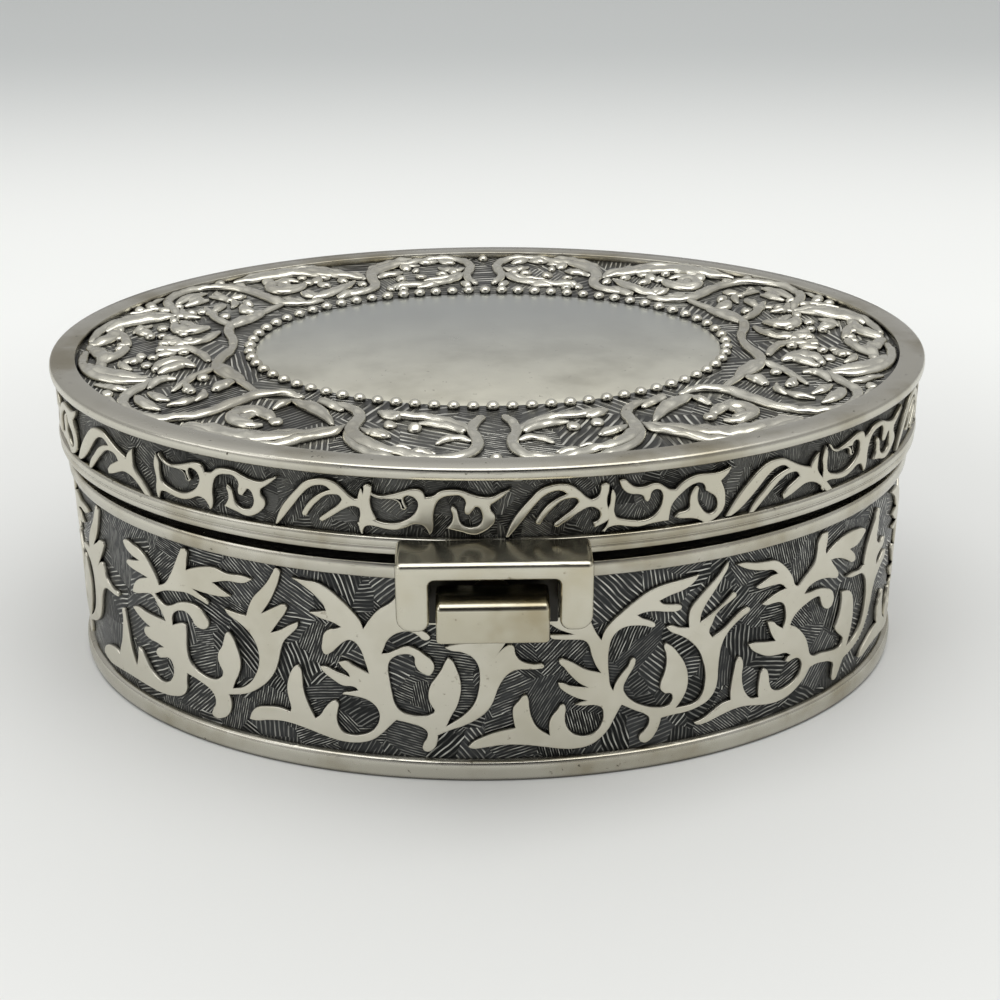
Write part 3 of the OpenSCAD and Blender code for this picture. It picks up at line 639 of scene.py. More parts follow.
def makeBracket():
    half, arch = clasp["width"] / 2, clasp["archWidth"] / 2
    low, high, front = clasp["bottom"], clasp["top"], clasp["front"]
    under = high - clasp["bar"]
    shoulder, foot, heel, crook = (clasp[part] for part in ("shoulder", "foot", "heel", "crook"))
    outline = cornerArc(half - shoulder, high - shoulder, shoulder, 0)
    outline += cornerArc(-half + shoulder, high - shoulder, shoulder, 90)
    outline += cornerArc(-half + foot, low + foot, foot, 180)
    outline += cornerArc(-arch - heel, low + heel, heel, 270)
    outline += cornerArc(-arch + crook, under - crook, crook, 180, sweep=-90)
    outline += cornerArc(arch - crook, under - crook, crook, 90, sweep=-90)
    outline += cornerArc(arch + heel, low + heel, heel, 180)
    outline += cornerArc(half - foot, low + foot, foot, 270)
    bm = prism([(clasp["middle"] + x, front, z) for x, z in outline], (0, clasp["rear"] - front, 0))
    rim = [e for e in bm.edges if all(abs(v.co.y - front) < 0.01 for v in e.verts)]
    bmesh.ops.bevel(bm, geom=rim, offset=clasp["soft"], segments=5, profile=0.5, affect="EDGES",
                    material=-1)
    return bm


# The button's side view, pulled from end to end
def makeButton():
    low, high, front, soft = button["low"], button["high"], button["front"], button["footSoft"]
    outline = [(button["rear"], low), (front + soft, low)]
    outline += [(front + soft - soft * math.sin(turn), low + soft - soft * math.cos(turn))
                for turn in button["footTurns"]]
    for i in range(button["crownSteps"] + 1):
        turn = math.pi / 2 * i / button["crownSteps"]
        outline.append((front + button["crownDepth"] * (1 - math.cos(turn)),
                        high - button["crownRise"] * (1 - math.sin(turn))))
    outline.append((button["rear"], high))
    left = button["middle"] - button["width"] / 2
    bm = prism([(left, y, z) for y, z in outline], (button["width"], 0, 0))
    ends = [e for e in bm.edges if abs(e.verts[0].co.x - e.verts[1].co.x) < 0.01]
    bmesh.ops.bevel(bm, geom=ends, offset=button["cornerSoft"], segments=4, profile=0.5,
                    affect="EDGES", material=-1)
    return bm


bracket = addPiece("clasp_bracket_smooth", makeBracket(), "lid", claspSilver, 50)
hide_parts("clasp_bracket")
pushButton = addPiece("push_button_smooth", makeButton(), "button", buttonSilver, 50)
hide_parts("push_button")
print("clasp made")


# Ornament: curves made solid, cut and bent round the walls

def curveToBm(curve):
    obj = bpy.data.objects.new(curve.name, curve)
    bpy.context.scene.collection.objects.link(obj)
    bpy.context.view_layer.update()
    mesh = bpy.data.meshes.new_from_object(obj.evaluated_get(bpy.context.evaluated_depsgraph_get()))
    bpy.data.objects.remove(obj)
    bpy.data.curves.remove(curve)
    bm = bmesh.new()
    bm.from_mesh(mesh)
    bpy.data.meshes.remove(mesh)
    return bm


# A filled outline with depth along z. Each run starts at a corner and is smooth up to the next run
def outlineMesh(name, runs, depth, soft, softSteps, resolution):
    curve = bpy.data.curves.new(name, "CURVE")
    curve.dimensions = "2D"
    curve.fill_mode = "BOTH"
    curve.resolution_u = resolution
    curve.extrude = depth / 2 - soft
    curve.bevel_depth = soft
    curve.bevel_resolution = softSteps
    curve.offset = -soft
    points = [(point, number == 0) for run in runs for number, point in enumerate(run)]
    spline = curve.splines.new("BEZIER")
    spline.bezier_points.add(len(points) - 1)
    spline.use_cyclic_u = True
    for target, (point, corner) in zip(spline.bezier_points, points):
        target.co = (*point, 0)
        target.handle_left_type = target.handle_right_type = "VECTOR" if corner else "AUTO"
    bm = curveToBm(curve)
    bmesh.ops.remove_doubles(bm, verts=bm.verts, dist=0.0008)
    return bm


shapeStore = {}


# Makes a shape once, and gives a copy of it each time
def fromStore(key, make, *values):
    if key not in shapeStore:
        bm = make(*values)
        shapeStore[key] = bpy.data.meshes.new(key)
        bm.to_mesh(shapeStore[key])
        bm.free()
    bm = bmesh.new()
    bm.from_mesh(shapeStore[key])
    return bm


wrapStep = 2.0
sunk = 0.25


# Bends a flat piece (x along the wall, y up, z outward) round the oval wall
def wrapRelief(bm, table, inset, groundInset):
    low = min(v.co.x for v in bm.verts)
    high = max(v.co.x for v in bm.verts)
    cuts = int((high - low) / wrapStep)
    for i in range(1, cuts + 1):
        bmesh.ops.bisect_plane(bm, geom=allOf(bm), plane_no=(1, 0, 0),
                               plane_co=(low + (high - low) * i / (cuts + 1), 0, 0))
    long, wide = halfLength - inset, halfWidth - inset
    for vert in bm.verts:
        angle = wallAngle(table, vert.co.x)
        out = Vector((wide * math.cos(angle), long * math.sin(angle), 0)).normalized()
        spot = Vector((long * math.cos(angle), wide * math.sin(angle), vert.co.y))
        vert.co = spot + out * (vert.co.z + inset - groundInset)
    return bm


def raised(key, runs, work, shift, table, inset):
    depth = work["ground"] - work["top"] + sunk
    bm = fromStore(key, outlineMesh, key, runs, depth, work["soft"], work["softSteps"], work["resolution"])
    bmesh.ops.translate(bm, vec=(shift, 0, depth / 2 - sunk), verts=bm.verts)
    return wrapRelief(bm, table, inset, work["ground"])


# Scrollwork on the body. Outlines are millimetres along the wall from the front middle, and height

motifs = {
    "one": [
        [(-40.9, 6.6), (-40.3, 8.1), (-39.4, 9.1), (-37.6, 9.7), (-35.4, 9.95)],
        [(-33.4, 9.6), (-33.2, 10.3), (-33.5, 12), (-33.7, 13.8), (-33.4, 15.6), (-32.8, 17.2),
         (-32.2, 18.1), (-31.7, 18.4), (-31.2, 17.9), (-31, 16.2), (-30.9, 14.2), (-30.4, 12.2),
         (-29.7, 10.4)],
        [(-29.1, 9.2), (-28.3, 9.9), (-27.5, 11.2), (-26.7, 12.3), (-25.9, 12.9), (-25.4, 12.9),
         (-25.1, 12.4), (-25.3, 11.2), (-25.5, 9.7), (-25.2, 8.3), (-24.4, 7.3), (-23.2, 6.95),
         (-21.6, 7.2), (-20.1, 7.9), (-19.1, 9), (-18.55, 10.4), (-18.6, 11.8), (-19.3, 13),
         (-20.5, 13.8), (-22.2, 14.15)],
        [(-24.4, 14.3), (-24.2, 14.6), (-23.1, 14.9)],
        [(-21.8, 15.3), (-22.3, 15.8), (-24.3, 15.9), (-25.9, 16.8), (-27.4, 18)],
        [(-27.9, 18.8), (-27, 18.9), (-25.4, 18.3)],
        [(-23.1, 17.6), (-23.3, 18.2), (-24.2, 19.1)],
        [(-24.9, 20), (-23.4, 20.3), (-22.3, 19.7)],
        [(-20, 18.6), (-20.6, 20.9), (-21.3, 22.9), (-22.1, 23.9), (-22.9, 24.15), (-23.8, 23.7),
         (-24.9, 22.6), (-26, 21.5), (-26.9, 21.1), (-27.4, 21.8), (-27.3, 23.4), (-26.9, 24.9),
         (-26.1, 25.6), (-25.1, 25.85)],
        [(-24.2, 26.3), (-25.4, 26.9), (-27.4, 27.4)],
        [(-29.3, 28.2), (-28.2, 28.4)],
        [(-26.5, 28.8), (-26.9, 29.9), (-28.3, 31.4), (-30.2, 32.8)],
        [(-31.9, 33.8), (-29.9, 33.6), (-27.9, 33.5), (-26.2, 32.8), (-24.2, 31.2), (-22.2, 29.2),
         (-21.1, 27.7)],
        [(-20.6, 26.4), (-19.7, 27.9), (-18.2, 29.8), (-16.2, 31.3), (-15, 33), (-14.6, 34.9),
         (-13.9, 34.9), (-14, 32.6)],
        [(-14.2, 31), (-12.4, 32), (-9.6, 32.9), (-6.4, 32.5), (-3.4, 32.7)],
        [(-1.8, 32.2), (-3.9, 31.2), (-6.9, 31)],
        [(-9.2, 30.1), (-7.6, 29.2)],
        [(-6, 28.5), (-7.4, 28), (-10.4, 27.8)],
        [(-13.2, 27.9), (-11.8, 27), (-10.6, 26.2), (-10.25, 25.5), (-10.6, 25.1), (-11.3, 25.1),
         (-12.2, 25.9), (-13.4, 26.4), (-14.9, 26.2), (-16.2, 25.4), (-17, 24.4), (-17.4, 23.4)],
        [(-17.8, 22.3), (-17, 22.4), (-15.6, 23.1), (-13.8, 23.85), (-12.6, 23.6), (-11.2, 22.6),
         (-10.1, 21.6), (-9.7, 20.6), (-9.9, 19.6), (-10.5, 18.9), (-11.3, 19.1), (-12.3, 19.9),
         (-12.7, 20.9), (-12.8, 22), (-13.4, 22.4), (-14.4, 22.4), (-15.6, 22), (-16.6, 21),
         (-16.9, 19.6), (-16.7, 17.6), (-16.4, 15.4), (-15.9, 13.3), (-15, 12.2), (-13.4, 11.6),
         (-11.6, 11.5), (-10.3, 11.9), (-9.8, 12.5), (-10.2, 13.4), (-10.6, 14.3), (-10.7, 15.6),
         (-10.3, 17.2), (-9.5, 18.5), (-8.6, 20), (-8, 21.4)],
        [(-7.5, 22.2), (-6.9, 21.6), (-6.3, 20.2), (-5.8, 18.6), (-5.6, 17), (-5.8, 15.2), (-6.3, 13.4),
         (-7.2, 11.6)],
        [(-7.9, 9.9), (-6.4, 10.9), (-4.7, 12.4), (-3.5, 14.2), (-2.9, 16.4), (-2.7, 18.8), (-3, 20.9),
         (-3.9, 22.3), (-5.4, 23.1), (-7.2, 23.4)],
        [(-8.1, 23.9), (-6.5, 24.5), (-4.5, 24.8)],
        [(-3.7, 24.9), (-3.3, 26.8), (-2.4, 28.4), (-1, 30.2), (0.3, 32), (1.3, 33.9)],
        [(2, 35), (2.6, 34.4), (2.3, 32.8), (1.6, 30.8), (0.7, 28.9)],
        [(-0.9, 26.6), (0.5, 27.5), (2.5, 28.7), (3.4, 28.4), (2.9, 27.1), (1.5, 25)],
        [(0.5, 23.4), (1.2, 24.1), (2.2, 24.4), (2.9, 22.5), (3.6, 21.6), (5.4, 20.9), (7.1, 20.7),
         (7.2, 20.2), (6.4, 19.95), (4.4, 19.95), (2.9, 19.9), (1.9, 19.4), (1, 18.4), (0.1, 16.6),
         (-0.6, 14.4), (-1.6, 12.6), (-3, 11.3), (-5.2, 10), (-7.6, 9)],
        [(-9.3, 8.1), (-9.4, 7), (-9.9, 5.7), (-10.9, 5), (-11.7, 5.4), (-11.6, 6.5), (-11.1, 7.4),
         (-11, 8.6), (-11.9, 9.5), (-13.4, 10)],
        [(-15.8, 10.5), (-16.8, 9.4), (-18.2, 7.8), (-19.6, 6.6), (-21.2, 5.9), (-23, 5.6), (-25.4, 5.7),
         (-28, 6.3), (-31, 7.1), (-34.5, 7.6), (-37.4, 7.2), (-39.6, 6.6)],
    ],
    "two": [
        [(-4.6, 6.1), (-3.9, 6.9), (-2.2, 7.9), (0.2, 8.9)],
        [(2.8, 9.5), (2.6, 10.4), (2.4, 11.8), (2.5, 13.2), (3.3, 14.3), (4, 15.2), (4.4, 15.4),
         (4.8, 14.7), (5, 13), (5.4, 11.2), (6.4, 9.3)],
        [(8.2, 7.9), (8.1, 9.6), (8.4, 11), (9.4, 12.4), (10, 13.3), (10.4, 13.3), (10.7, 12.6),
         (10.6, 11.2), (10.8, 9.6), (11.6, 8.2), (12.8, 7.4), (14.2, 7.2), (15.6, 7.8), (16.5, 9.2),
         (16.75, 10.8), (16.4, 12.1), (15.3, 12.7), (13.4, 12.8)],
        [(12.1, 13.1), (13, 13.5)],
        [(13.9, 13.7), (12.4, 14.3), (10.7, 15.4), (9.7, 16.4)],
        [(9.4, 17.3), (10.4, 17.1), (11.4, 16.6)],
        [(14, 16.1), (12.8, 16.9), (11.5, 18.3), (10.4, 19.8), (9.5, 21.2)],
        [(9.9, 21.6), (11.4, 20.9), (13.8, 19.3)],
        [(16.1, 18.5), (15.3, 19.9), (14.6, 21.8), (14.1, 23.6), (13.4, 24.4), (11.8, 24.7), (9.6, 24.9),
         (8.2, 25.3)],
        [(8.1, 25.9), (9.8, 25.8)],
        [(11.6, 25.7), (9.6, 26.6), (7.6, 28)],
        [(6.6, 28.6), (8, 28.8)],
        [(9.8, 28.9), (9.2, 30), (7.6, 31.6), (5.6, 32.9)],
        [(4.2, 33.8), (6.4, 33.7), (8.8, 33.2), (11, 32), (12.8, 30.2), (14.2, 28), (15.2, 25.8)],
        [(16.1, 24.3), (16.6, 25.8), (17.6, 27.2), (19.2, 28.7), (21.2, 30.3), (23.4, 31.7), (25.8, 32.5),
         (28.8, 32.9)],
        [(31.9, 33.3), (30.8, 32), (29.2, 31.1), (27.2, 30.6)],
        [(25.3, 29.9), (25.9, 29.3), (27.3, 28.9), (28.8, 28.6), (29.1, 28.2), (28.7, 27.7), (27, 27.7),
         (24.4, 28.2), (22.9, 28.2)],
        [(21.8, 27.9), (22.7, 27.2), (24, 26.6), (24.7, 26), (24.7, 25.5), (24.2, 25.4), (23.2, 25.8),
         (21.6, 26.1), (20, 26.1), (18.7, 25.5), (17.8, 24.3), (17.4, 22.6), (17.3, 20.4), (17.5, 17.8),
         (17.8, 15.9)],
        [(18.2, 15.1), (18.6, 16.3), (19.6, 17.9), (20.6, 19.2), (21.1, 20.3), (21.6, 20.3), (21.7, 19.5),
         (21.2, 18.3), (20.4, 16.8), (19.9, 15.3), (20.4, 13.9), (21.6, 12.6), (23.4, 11.5), (25.4, 10.8),
         (27.2, 10.7), (28, 11.3), (28.2, 12.2), (27.9, 12.9)],
        [(26.9, 13.1), (26.1, 14), (26.1, 15.2), (26.6, 16.7), (26.9, 18.4), (26.8, 20.2), (26.4, 21.9)],
        [(26.7, 22.3), (27.8, 21.4), (29, 19.8), (30.1, 17.9), (30.7, 15.8), (30.7, 13.7), (30.1, 11.9)],
        [(28.9, 10.1), (30.6, 10.1), (32.3, 10.4), (33.4, 11.6), (33.8, 13.4), (33.8, 15.4), (33.3, 17.6),
         (32.4, 19.8), (31, 21.6), (29.3, 23), (27.4, 24.1)],
        [(26.6, 25), (27.4, 25.2), (28.9, 24.6)],
        [(30.5, 24.3), (30.4, 26.2), (30.7, 27.7), (31.9, 29.2), (33.6, 30.9), (35.2, 32.5),
         (36.4, 34.1)],
        [(36.8, 34.6), (36.9, 33.9), (35.9, 31.9), (34.6, 29.9), (33.3, 28), (32.5, 26.2)],
        [(32.4, 24.9), (33.8, 25.6), (35.8, 26.9), (37.4, 28.3), (38.2, 28.9), (38.7, 28.4), (37.9, 27.6),
         (36.3, 26.7), (35.2, 25.7), (34.6, 24.3), (34.1, 22.9)],
        [(34.7, 21.7), (36.6, 22.7), (38.6, 24.4), (40.2, 25.4), (41.3, 25.5), (41.4, 25), (40.2, 24.2),
         (38.4, 22.9), (37.2, 21.5), (36.5, 19.9), (36.2, 17.8), (36.1, 15.6), (36.1, 13.6), (35.7, 11.8),
         (34.6, 10.3), (33, 9.5), (30.8, 9), (28.2, 8.9)],
        [(26.4, 8.7), (26.1, 7.4), (25.5, 6), (24.6, 4.9), (23.6, 4.6), (22.8, 5.3), (22.9, 6.1),
         (23.7, 6.9), (24.3, 8), (24.3, 9.1), (23.6, 9.9), (22, 10.8)],
        [(19.7, 12.2), (19.1, 11.1), (18.4, 9.6), (17.6, 8), (16.4, 6.6), (15, 5.6), (12.8, 5.05),
         (10.2, 5.2), (7.2, 5.8), (4.2, 6.3), (0.8, 6.4), (-1.9, 6), (-4.1, 5.8)],
    ],
    "three": [
        [(32.2, 6.6), (33.6, 6.9), (35.4, 7.9), (37.4, 9)],
        [(38.8, 9.2), (38.7, 10.8), (38.9, 13), (39.2, 15), (39.5, 16.4), (40, 16.9), (40.5, 16.4),
         (40.8, 15.4), (40.7, 13.6), (41, 11.4), (41.8, 9.6), (43, 8.4)],
        [(44.3, 8.2), (44.2, 9.6), (44.3, 11.6), (44.7, 13.1), (45.1, 13.3), (45.7, 12.9), (46.1, 11.9),
         (46.5, 10), (47.1, 8.9), (48.2, 8.3), (49.8, 8.2), (51.6, 8.7), (52.9, 9.7), (53.4, 10.9),
         (53.1, 12.2), (52.3, 13), (51.3, 13.2), (50.3, 13)],
        [(49.5, 13.3), (49.9, 13.8)],
        [(50.5, 14.2), (49.4, 14.9), (47.6, 15.1), (45.6, 15.5), (43.7, 16.5), (42.3, 17.6)],
        [(41.6, 18.7), (43, 18.7), (44.8, 18.3)],
        [(47, 17.9), (46.2, 19.2), (45.6, 20.6)],
        [(45.1, 21.9), (46.3, 21.6), (47.2, 20.7)],
        [(48.4, 19.8), (48.9, 21), (48.8, 22.6), (48.3, 24.1), (47.4, 24.8), (46, 25), (44.6, 25)],
        [(43.8, 25.4), (45.2, 26.1), (46.8, 26.7)],
        [(48.5, 27), (47.4, 28), (46, 28.3), (44.2, 28.3), (42.9, 28.4)],
        [(42.4, 28.8), (43.8, 29.4), (45.2, 30)],
        [(46.5, 30.2), (45.6, 31), (44, 31.4), (42, 31.9), (40, 32.7)],
        [(38.4, 33.7), (40, 33.7), (42, 33.2), (44.2, 32.9), (46, 32.6), (47.6, 31.4), (49, 29.8),
         (49.9, 28.3), (50.4, 27.1)],
        [(51.2, 26.6), (52.2, 27.5), (53.6, 28.7), (54.7, 30.1), (55, 31.8), (55.1, 33.4), (55.8, 34.4)],
        [(57.2, 34.5), (57.2, 32.6), (57, 31.2)],
        [(57.3, 30.5), (58.6, 31.3), (60.4, 32), (62.8, 32.4), (65.4, 32.2), (67.6, 31.6), (68.2, 31),
         (67.4, 30.2), (66, 29.3)],
        [(63.7, 29.2), (64.6, 28.4), (65.4, 27.5), (65.5, 26.6), (64.8, 26.4), (63.4, 27.2), (61.6, 28.2),
         (60, 28.8)],
        [(58.6, 29), (59.2, 28.1), (60.2, 26.9), (60.9, 25.6), (60.6, 25.1), (59.6, 25.3), (58, 25.9),
         (56.2, 26.2), (54.6, 26.1), (53.4, 25.6)],
        [(52.7, 24.8), (54.2, 24.6), (56, 24.6), (57.8, 24.1), (59.4, 23.2), (60.1, 22), (60.1, 20.8),
         (59.4, 20), (58.4, 20.1), (57.5, 20.8), (56.9, 21.9), (56.4, 23), (55.2, 23.2), (53.4, 22.8),
         (51.6, 22), (50.4, 20.9)],
        [(50, 19.9), (51.2, 19.2), (52.6, 17.9), (53.8, 16.3), (54.6, 14.4), (55.2, 12.8), (56.2, 12.1),
         (58.2, 11.9), (60.4, 11.4), (62.4, 11.1), (63.6, 11.4), (64, 12.3)],
        [(63.4, 13.1), (62.2, 14.2), (61.4, 15.4), (61.9, 16.6), (62.5, 18.2), (62.7, 20)],
        [(62.4, 21.8), (63.6, 21.6), (65, 20.9), (66, 19.2), (66.4, 17), (66.4, 14.8), (66, 12.6)],
        [(65.3, 10.5), (67.2, 10.8), (69, 12), (70.2, 14), (70.8, 16.6), (70.6, 19.4), (69.8, 21.6),
         (68.4, 22.9), (66.4, 23.3), (64.6, 23.6)],
        [(63.3, 24.2), (65.4, 24.3), (67.6, 24)],
        [(68.9, 24.3), (69.2, 26.2), (69.8, 28.4), (70.8, 30.4), (71.8, 32), (72.4, 33.4), (73, 33.2),
         (73.2, 31.6)],
        [(73.2, 29.6), (73, 28), (73.8, 26.6), (75.2, 26.2), (76.6, 26.6), (77, 25.8), (76.2, 24.8),
         (74.8, 24.4), (73.8, 23.4)],
        [(74, 22.4), (75.4, 22.6), (77.2, 23.6), (78.2, 23.4), (78.2, 22.4), (76.8, 21.6), (75.4, 20.8),
         (74.2, 19.6), (73.4, 18), (72.8, 15.6), (71.8, 13), (70.4, 11), (68.4, 9.6), (66.2, 8.8)],
        [(64.6, 8.4), (64, 7.4), (63.4, 6.2), (62.6, 5.1), (61.8, 5.3), (61.7, 6.8), (61.7, 8.4),
         (60.6, 9.3), (58.8, 9.9), (56.6, 10.3)],
        [(55.2, 10.1), (54.4, 8.8), (53, 7.6), (51.2, 6.6), (49, 6.1), (46.6, 6.2), (44.2, 6.7),
         (41.6, 7.3), (39.4, 7.3), (37, 6.8), (34.4, 6.1), (32.8, 6.1)],
    ],
    "four": [
        [(-78, 5.6), (-77.6, 6.8), (-76.4, 7.8), (-74.6, 8.6), (-72.6, 8.9)],
        [(-71.2, 8.4), (-70.6, 10), (-69.7, 12), (-69.2, 14), (-68.7, 16.2), (-68.3, 18.4), (-67.7, 16.6),
         (-67.4, 14.4), (-67.1, 12.2), (-66.6, 10.4)],
        [(-65.7, 8.6), (-65.2, 10.2)],
        [(-64.7, 12.4), (-63.8, 12), (-62.8, 10.8), (-62, 9.6), (-60.6, 8.5), (-59, 8.1), (-57.6, 8.5),
         (-56.5, 9.6), (-56, 11), (-56.1, 12.4), (-56.8, 13.2), (-58, 12.9), (-59.4, 12.6)],
        [(-60, 13.3), (-59.4, 14.2)],
        [(-58, 14.9), (-59.4, 15.2), (-61.2, 15.3), (-62.5, 16), (-62.4, 17)],
        [(-61, 17.7), (-62.2, 18.1), (-64, 19)],
        [(-65.2, 19.9), (-64, 20.4), (-62, 20.2), (-59.6, 20.1)],
        [(-56.9, 20.1), (-57.4, 21.2), (-58.4, 22.6), (-59.6, 24), (-61.4, 23.7), (-63.4, 23)],
        [(-64.8, 22.8), (-64.2, 24.4), (-62.8, 25.8)],
        [(-60.5, 26.9), (-62.4, 27.1), (-64.4, 27.3), (-65.7, 27.9)],
        [(-65.3, 28.6), (-63.8, 28.9)],
        [(-62.3, 29.4), (-64.2, 29.8), (-65.6, 30.6)],
        [(-66.2, 31.6), (-65.6, 32.1), (-63.9, 31.9), (-61.8, 31.4), (-60.2, 30.3), (-58.9, 28.8),
         (-58.1, 27.4)],
        [(-57.7, 26.4), (-56.3, 27.2), (-55, 28.9), (-53.9, 30.9), (-52.9, 32.9)],
        [(-52, 34.6), (-51, 34.6), (-51.1, 32.6)],
        [(-51.3, 31), (-49.9, 31.7), (-47.9, 32.4), (-45.7, 32.8), (-43.4, 32.3), (-40.6, 32.5)],
        [(-38.7, 32.2), (-40.2, 31.3), (-43.2, 31)],
        [(-46.1, 30.1), (-44.5, 29.2)],
        [(-42.8, 28.4), (-44.2, 28), (-47, 27.8)],
        [(-50.1, 27.9), (-48.6, 27.1), (-47.2, 26.3)],
        [(-47.4, 25.8), (-49, 26.3), (-51.4, 26.8), (-54, 26.4), (-56.6, 25.7)],
        [(-58.8, 24.5), (-57.9, 23.6), (-56.7, 23.1), (-55.3, 23.5), (-53.6, 24.5), (-51.4, 25.1),
         (-49.3, 24.8), (-48.1, 23.7), (-47.5, 22.5), (-48, 21.4), (-49.2, 21), (-50.3, 21.4),
         (-51, 22.5), (-52, 23.2), (-53.4, 23.1), (-54.6, 22.4), (-55.3, 21.3)],
        [(-55.3, 19.9), (-54.4, 20.4), (-53.2, 20.9)],
        [(-52.3, 20.8), (-52.4, 18.8), (-52.6, 16.6), (-52.3, 14.6), (-51.3, 13.3), (-49.8, 12.5),
         (-47.9, 12.2), (-46.3, 12.7), (-45.4, 14), (-45.9, 15.3), (-46.2, 16.4), (-46, 17.6),
         (-45.2, 18.9), (-44.7, 20.4), (-44.2, 21.6)],
        [(-43.7, 21.9), (-43.1, 21.2), (-42.5, 19.7), (-42, 17.9), (-41.9, 16.2), (-42.4, 14.4),
         (-43.2, 12.8)],
        [(-43.6, 11.6), (-41.9, 12.2), (-40.3, 13.5), (-39.2, 15.2), (-38.5, 17.2), (-38.4, 19.4),
         (-39, 21.4), (-40.2, 23), (-41.9, 24.2), (-43.6, 25.1)],
        [(-44.2, 25.9), (-42.6, 25.7), (-41.4, 25.6)],
        [(-40.2, 25.6), (-39.6, 27.4), (-38.6, 29.3), (-37.2, 30.9), (-35.9, 32.6), (-35, 34.2),
         (-34.5, 35), (-33.9, 34.8), (-34, 33.3), (-34.8, 31.1), (-35.7, 29.2)],
        [(-37.3, 26.7), (-36.2, 27.4), (-34.9, 28.2), (-33.7, 28.8), (-33, 28.6), (-33.2, 27.6),
         (-34.3, 25.9)],
        [(-35.9, 23.5), (-34.4, 24.2), (-32.8, 25.3)],
        [(-31.2, 26.2), (-31.3, 25.3), (-32.4, 23.9), (-33.7, 22.4), (-34.4, 20.6), (-34.9, 18.6),
         (-35.6, 16.6), (-36.8, 14.7), (-38.6, 12.9), (-40.8, 11.4), (-43, 10.6)],
        [(-44.5, 10.2), (-44.2, 9), (-44.3, 7.6), (-45, 6.2), (-46.2, 5.3), (-47.5, 5), (-48.2, 5.4),
         (-48, 6.4), (-47.4, 7.6), (-47.4, 9), (-48.1, 10), (-50.2, 11)],
        [(-52.9, 11.7), (-53.2, 10.1), (-53.3, 8.6), (-54.2, 7.2), (-56.4, 6.2), (-59.4, 5.7),
         (-63.4, 5.7), (-68, 5.7), (-72, 5.3), (-75.4, 5)],
    ],
}
motifStart = {"one": -41.0, "two": -4.6, "three": 32.8, "four": -78.0}
panelWork = {"ground": 2.6, "top": 1.95, "soft": 0.16, "softSteps": 2, "resolution": 6,
             "repeat": 35.6, "firstSide": 70.0,
             "front": ("four", "one", "two", "three"),
             "sides": ("two", "three", "four", "one", "two", "three", "one")}


def makePanel():
    places = [(key, 0.0) for key in panelWork["front"]]
    for i, key in enumerate(panelWork["sides"]):
        places.append((key, panelWork["firstSide"] + i * panelWork["repeat"] - motifStart[key]))
    for number, (key, shift) in enumerate(places, 1):
        bm = raised(key, motifs[key], panelWork, shift, panelWalk, panelInset)
        addPiece("panel_scroll_%d" % number, bm, "box", leafSilver, 50)


makePanel()
print("panel made")


# Frieze round the lid: two hands, each a scroll and three fingers

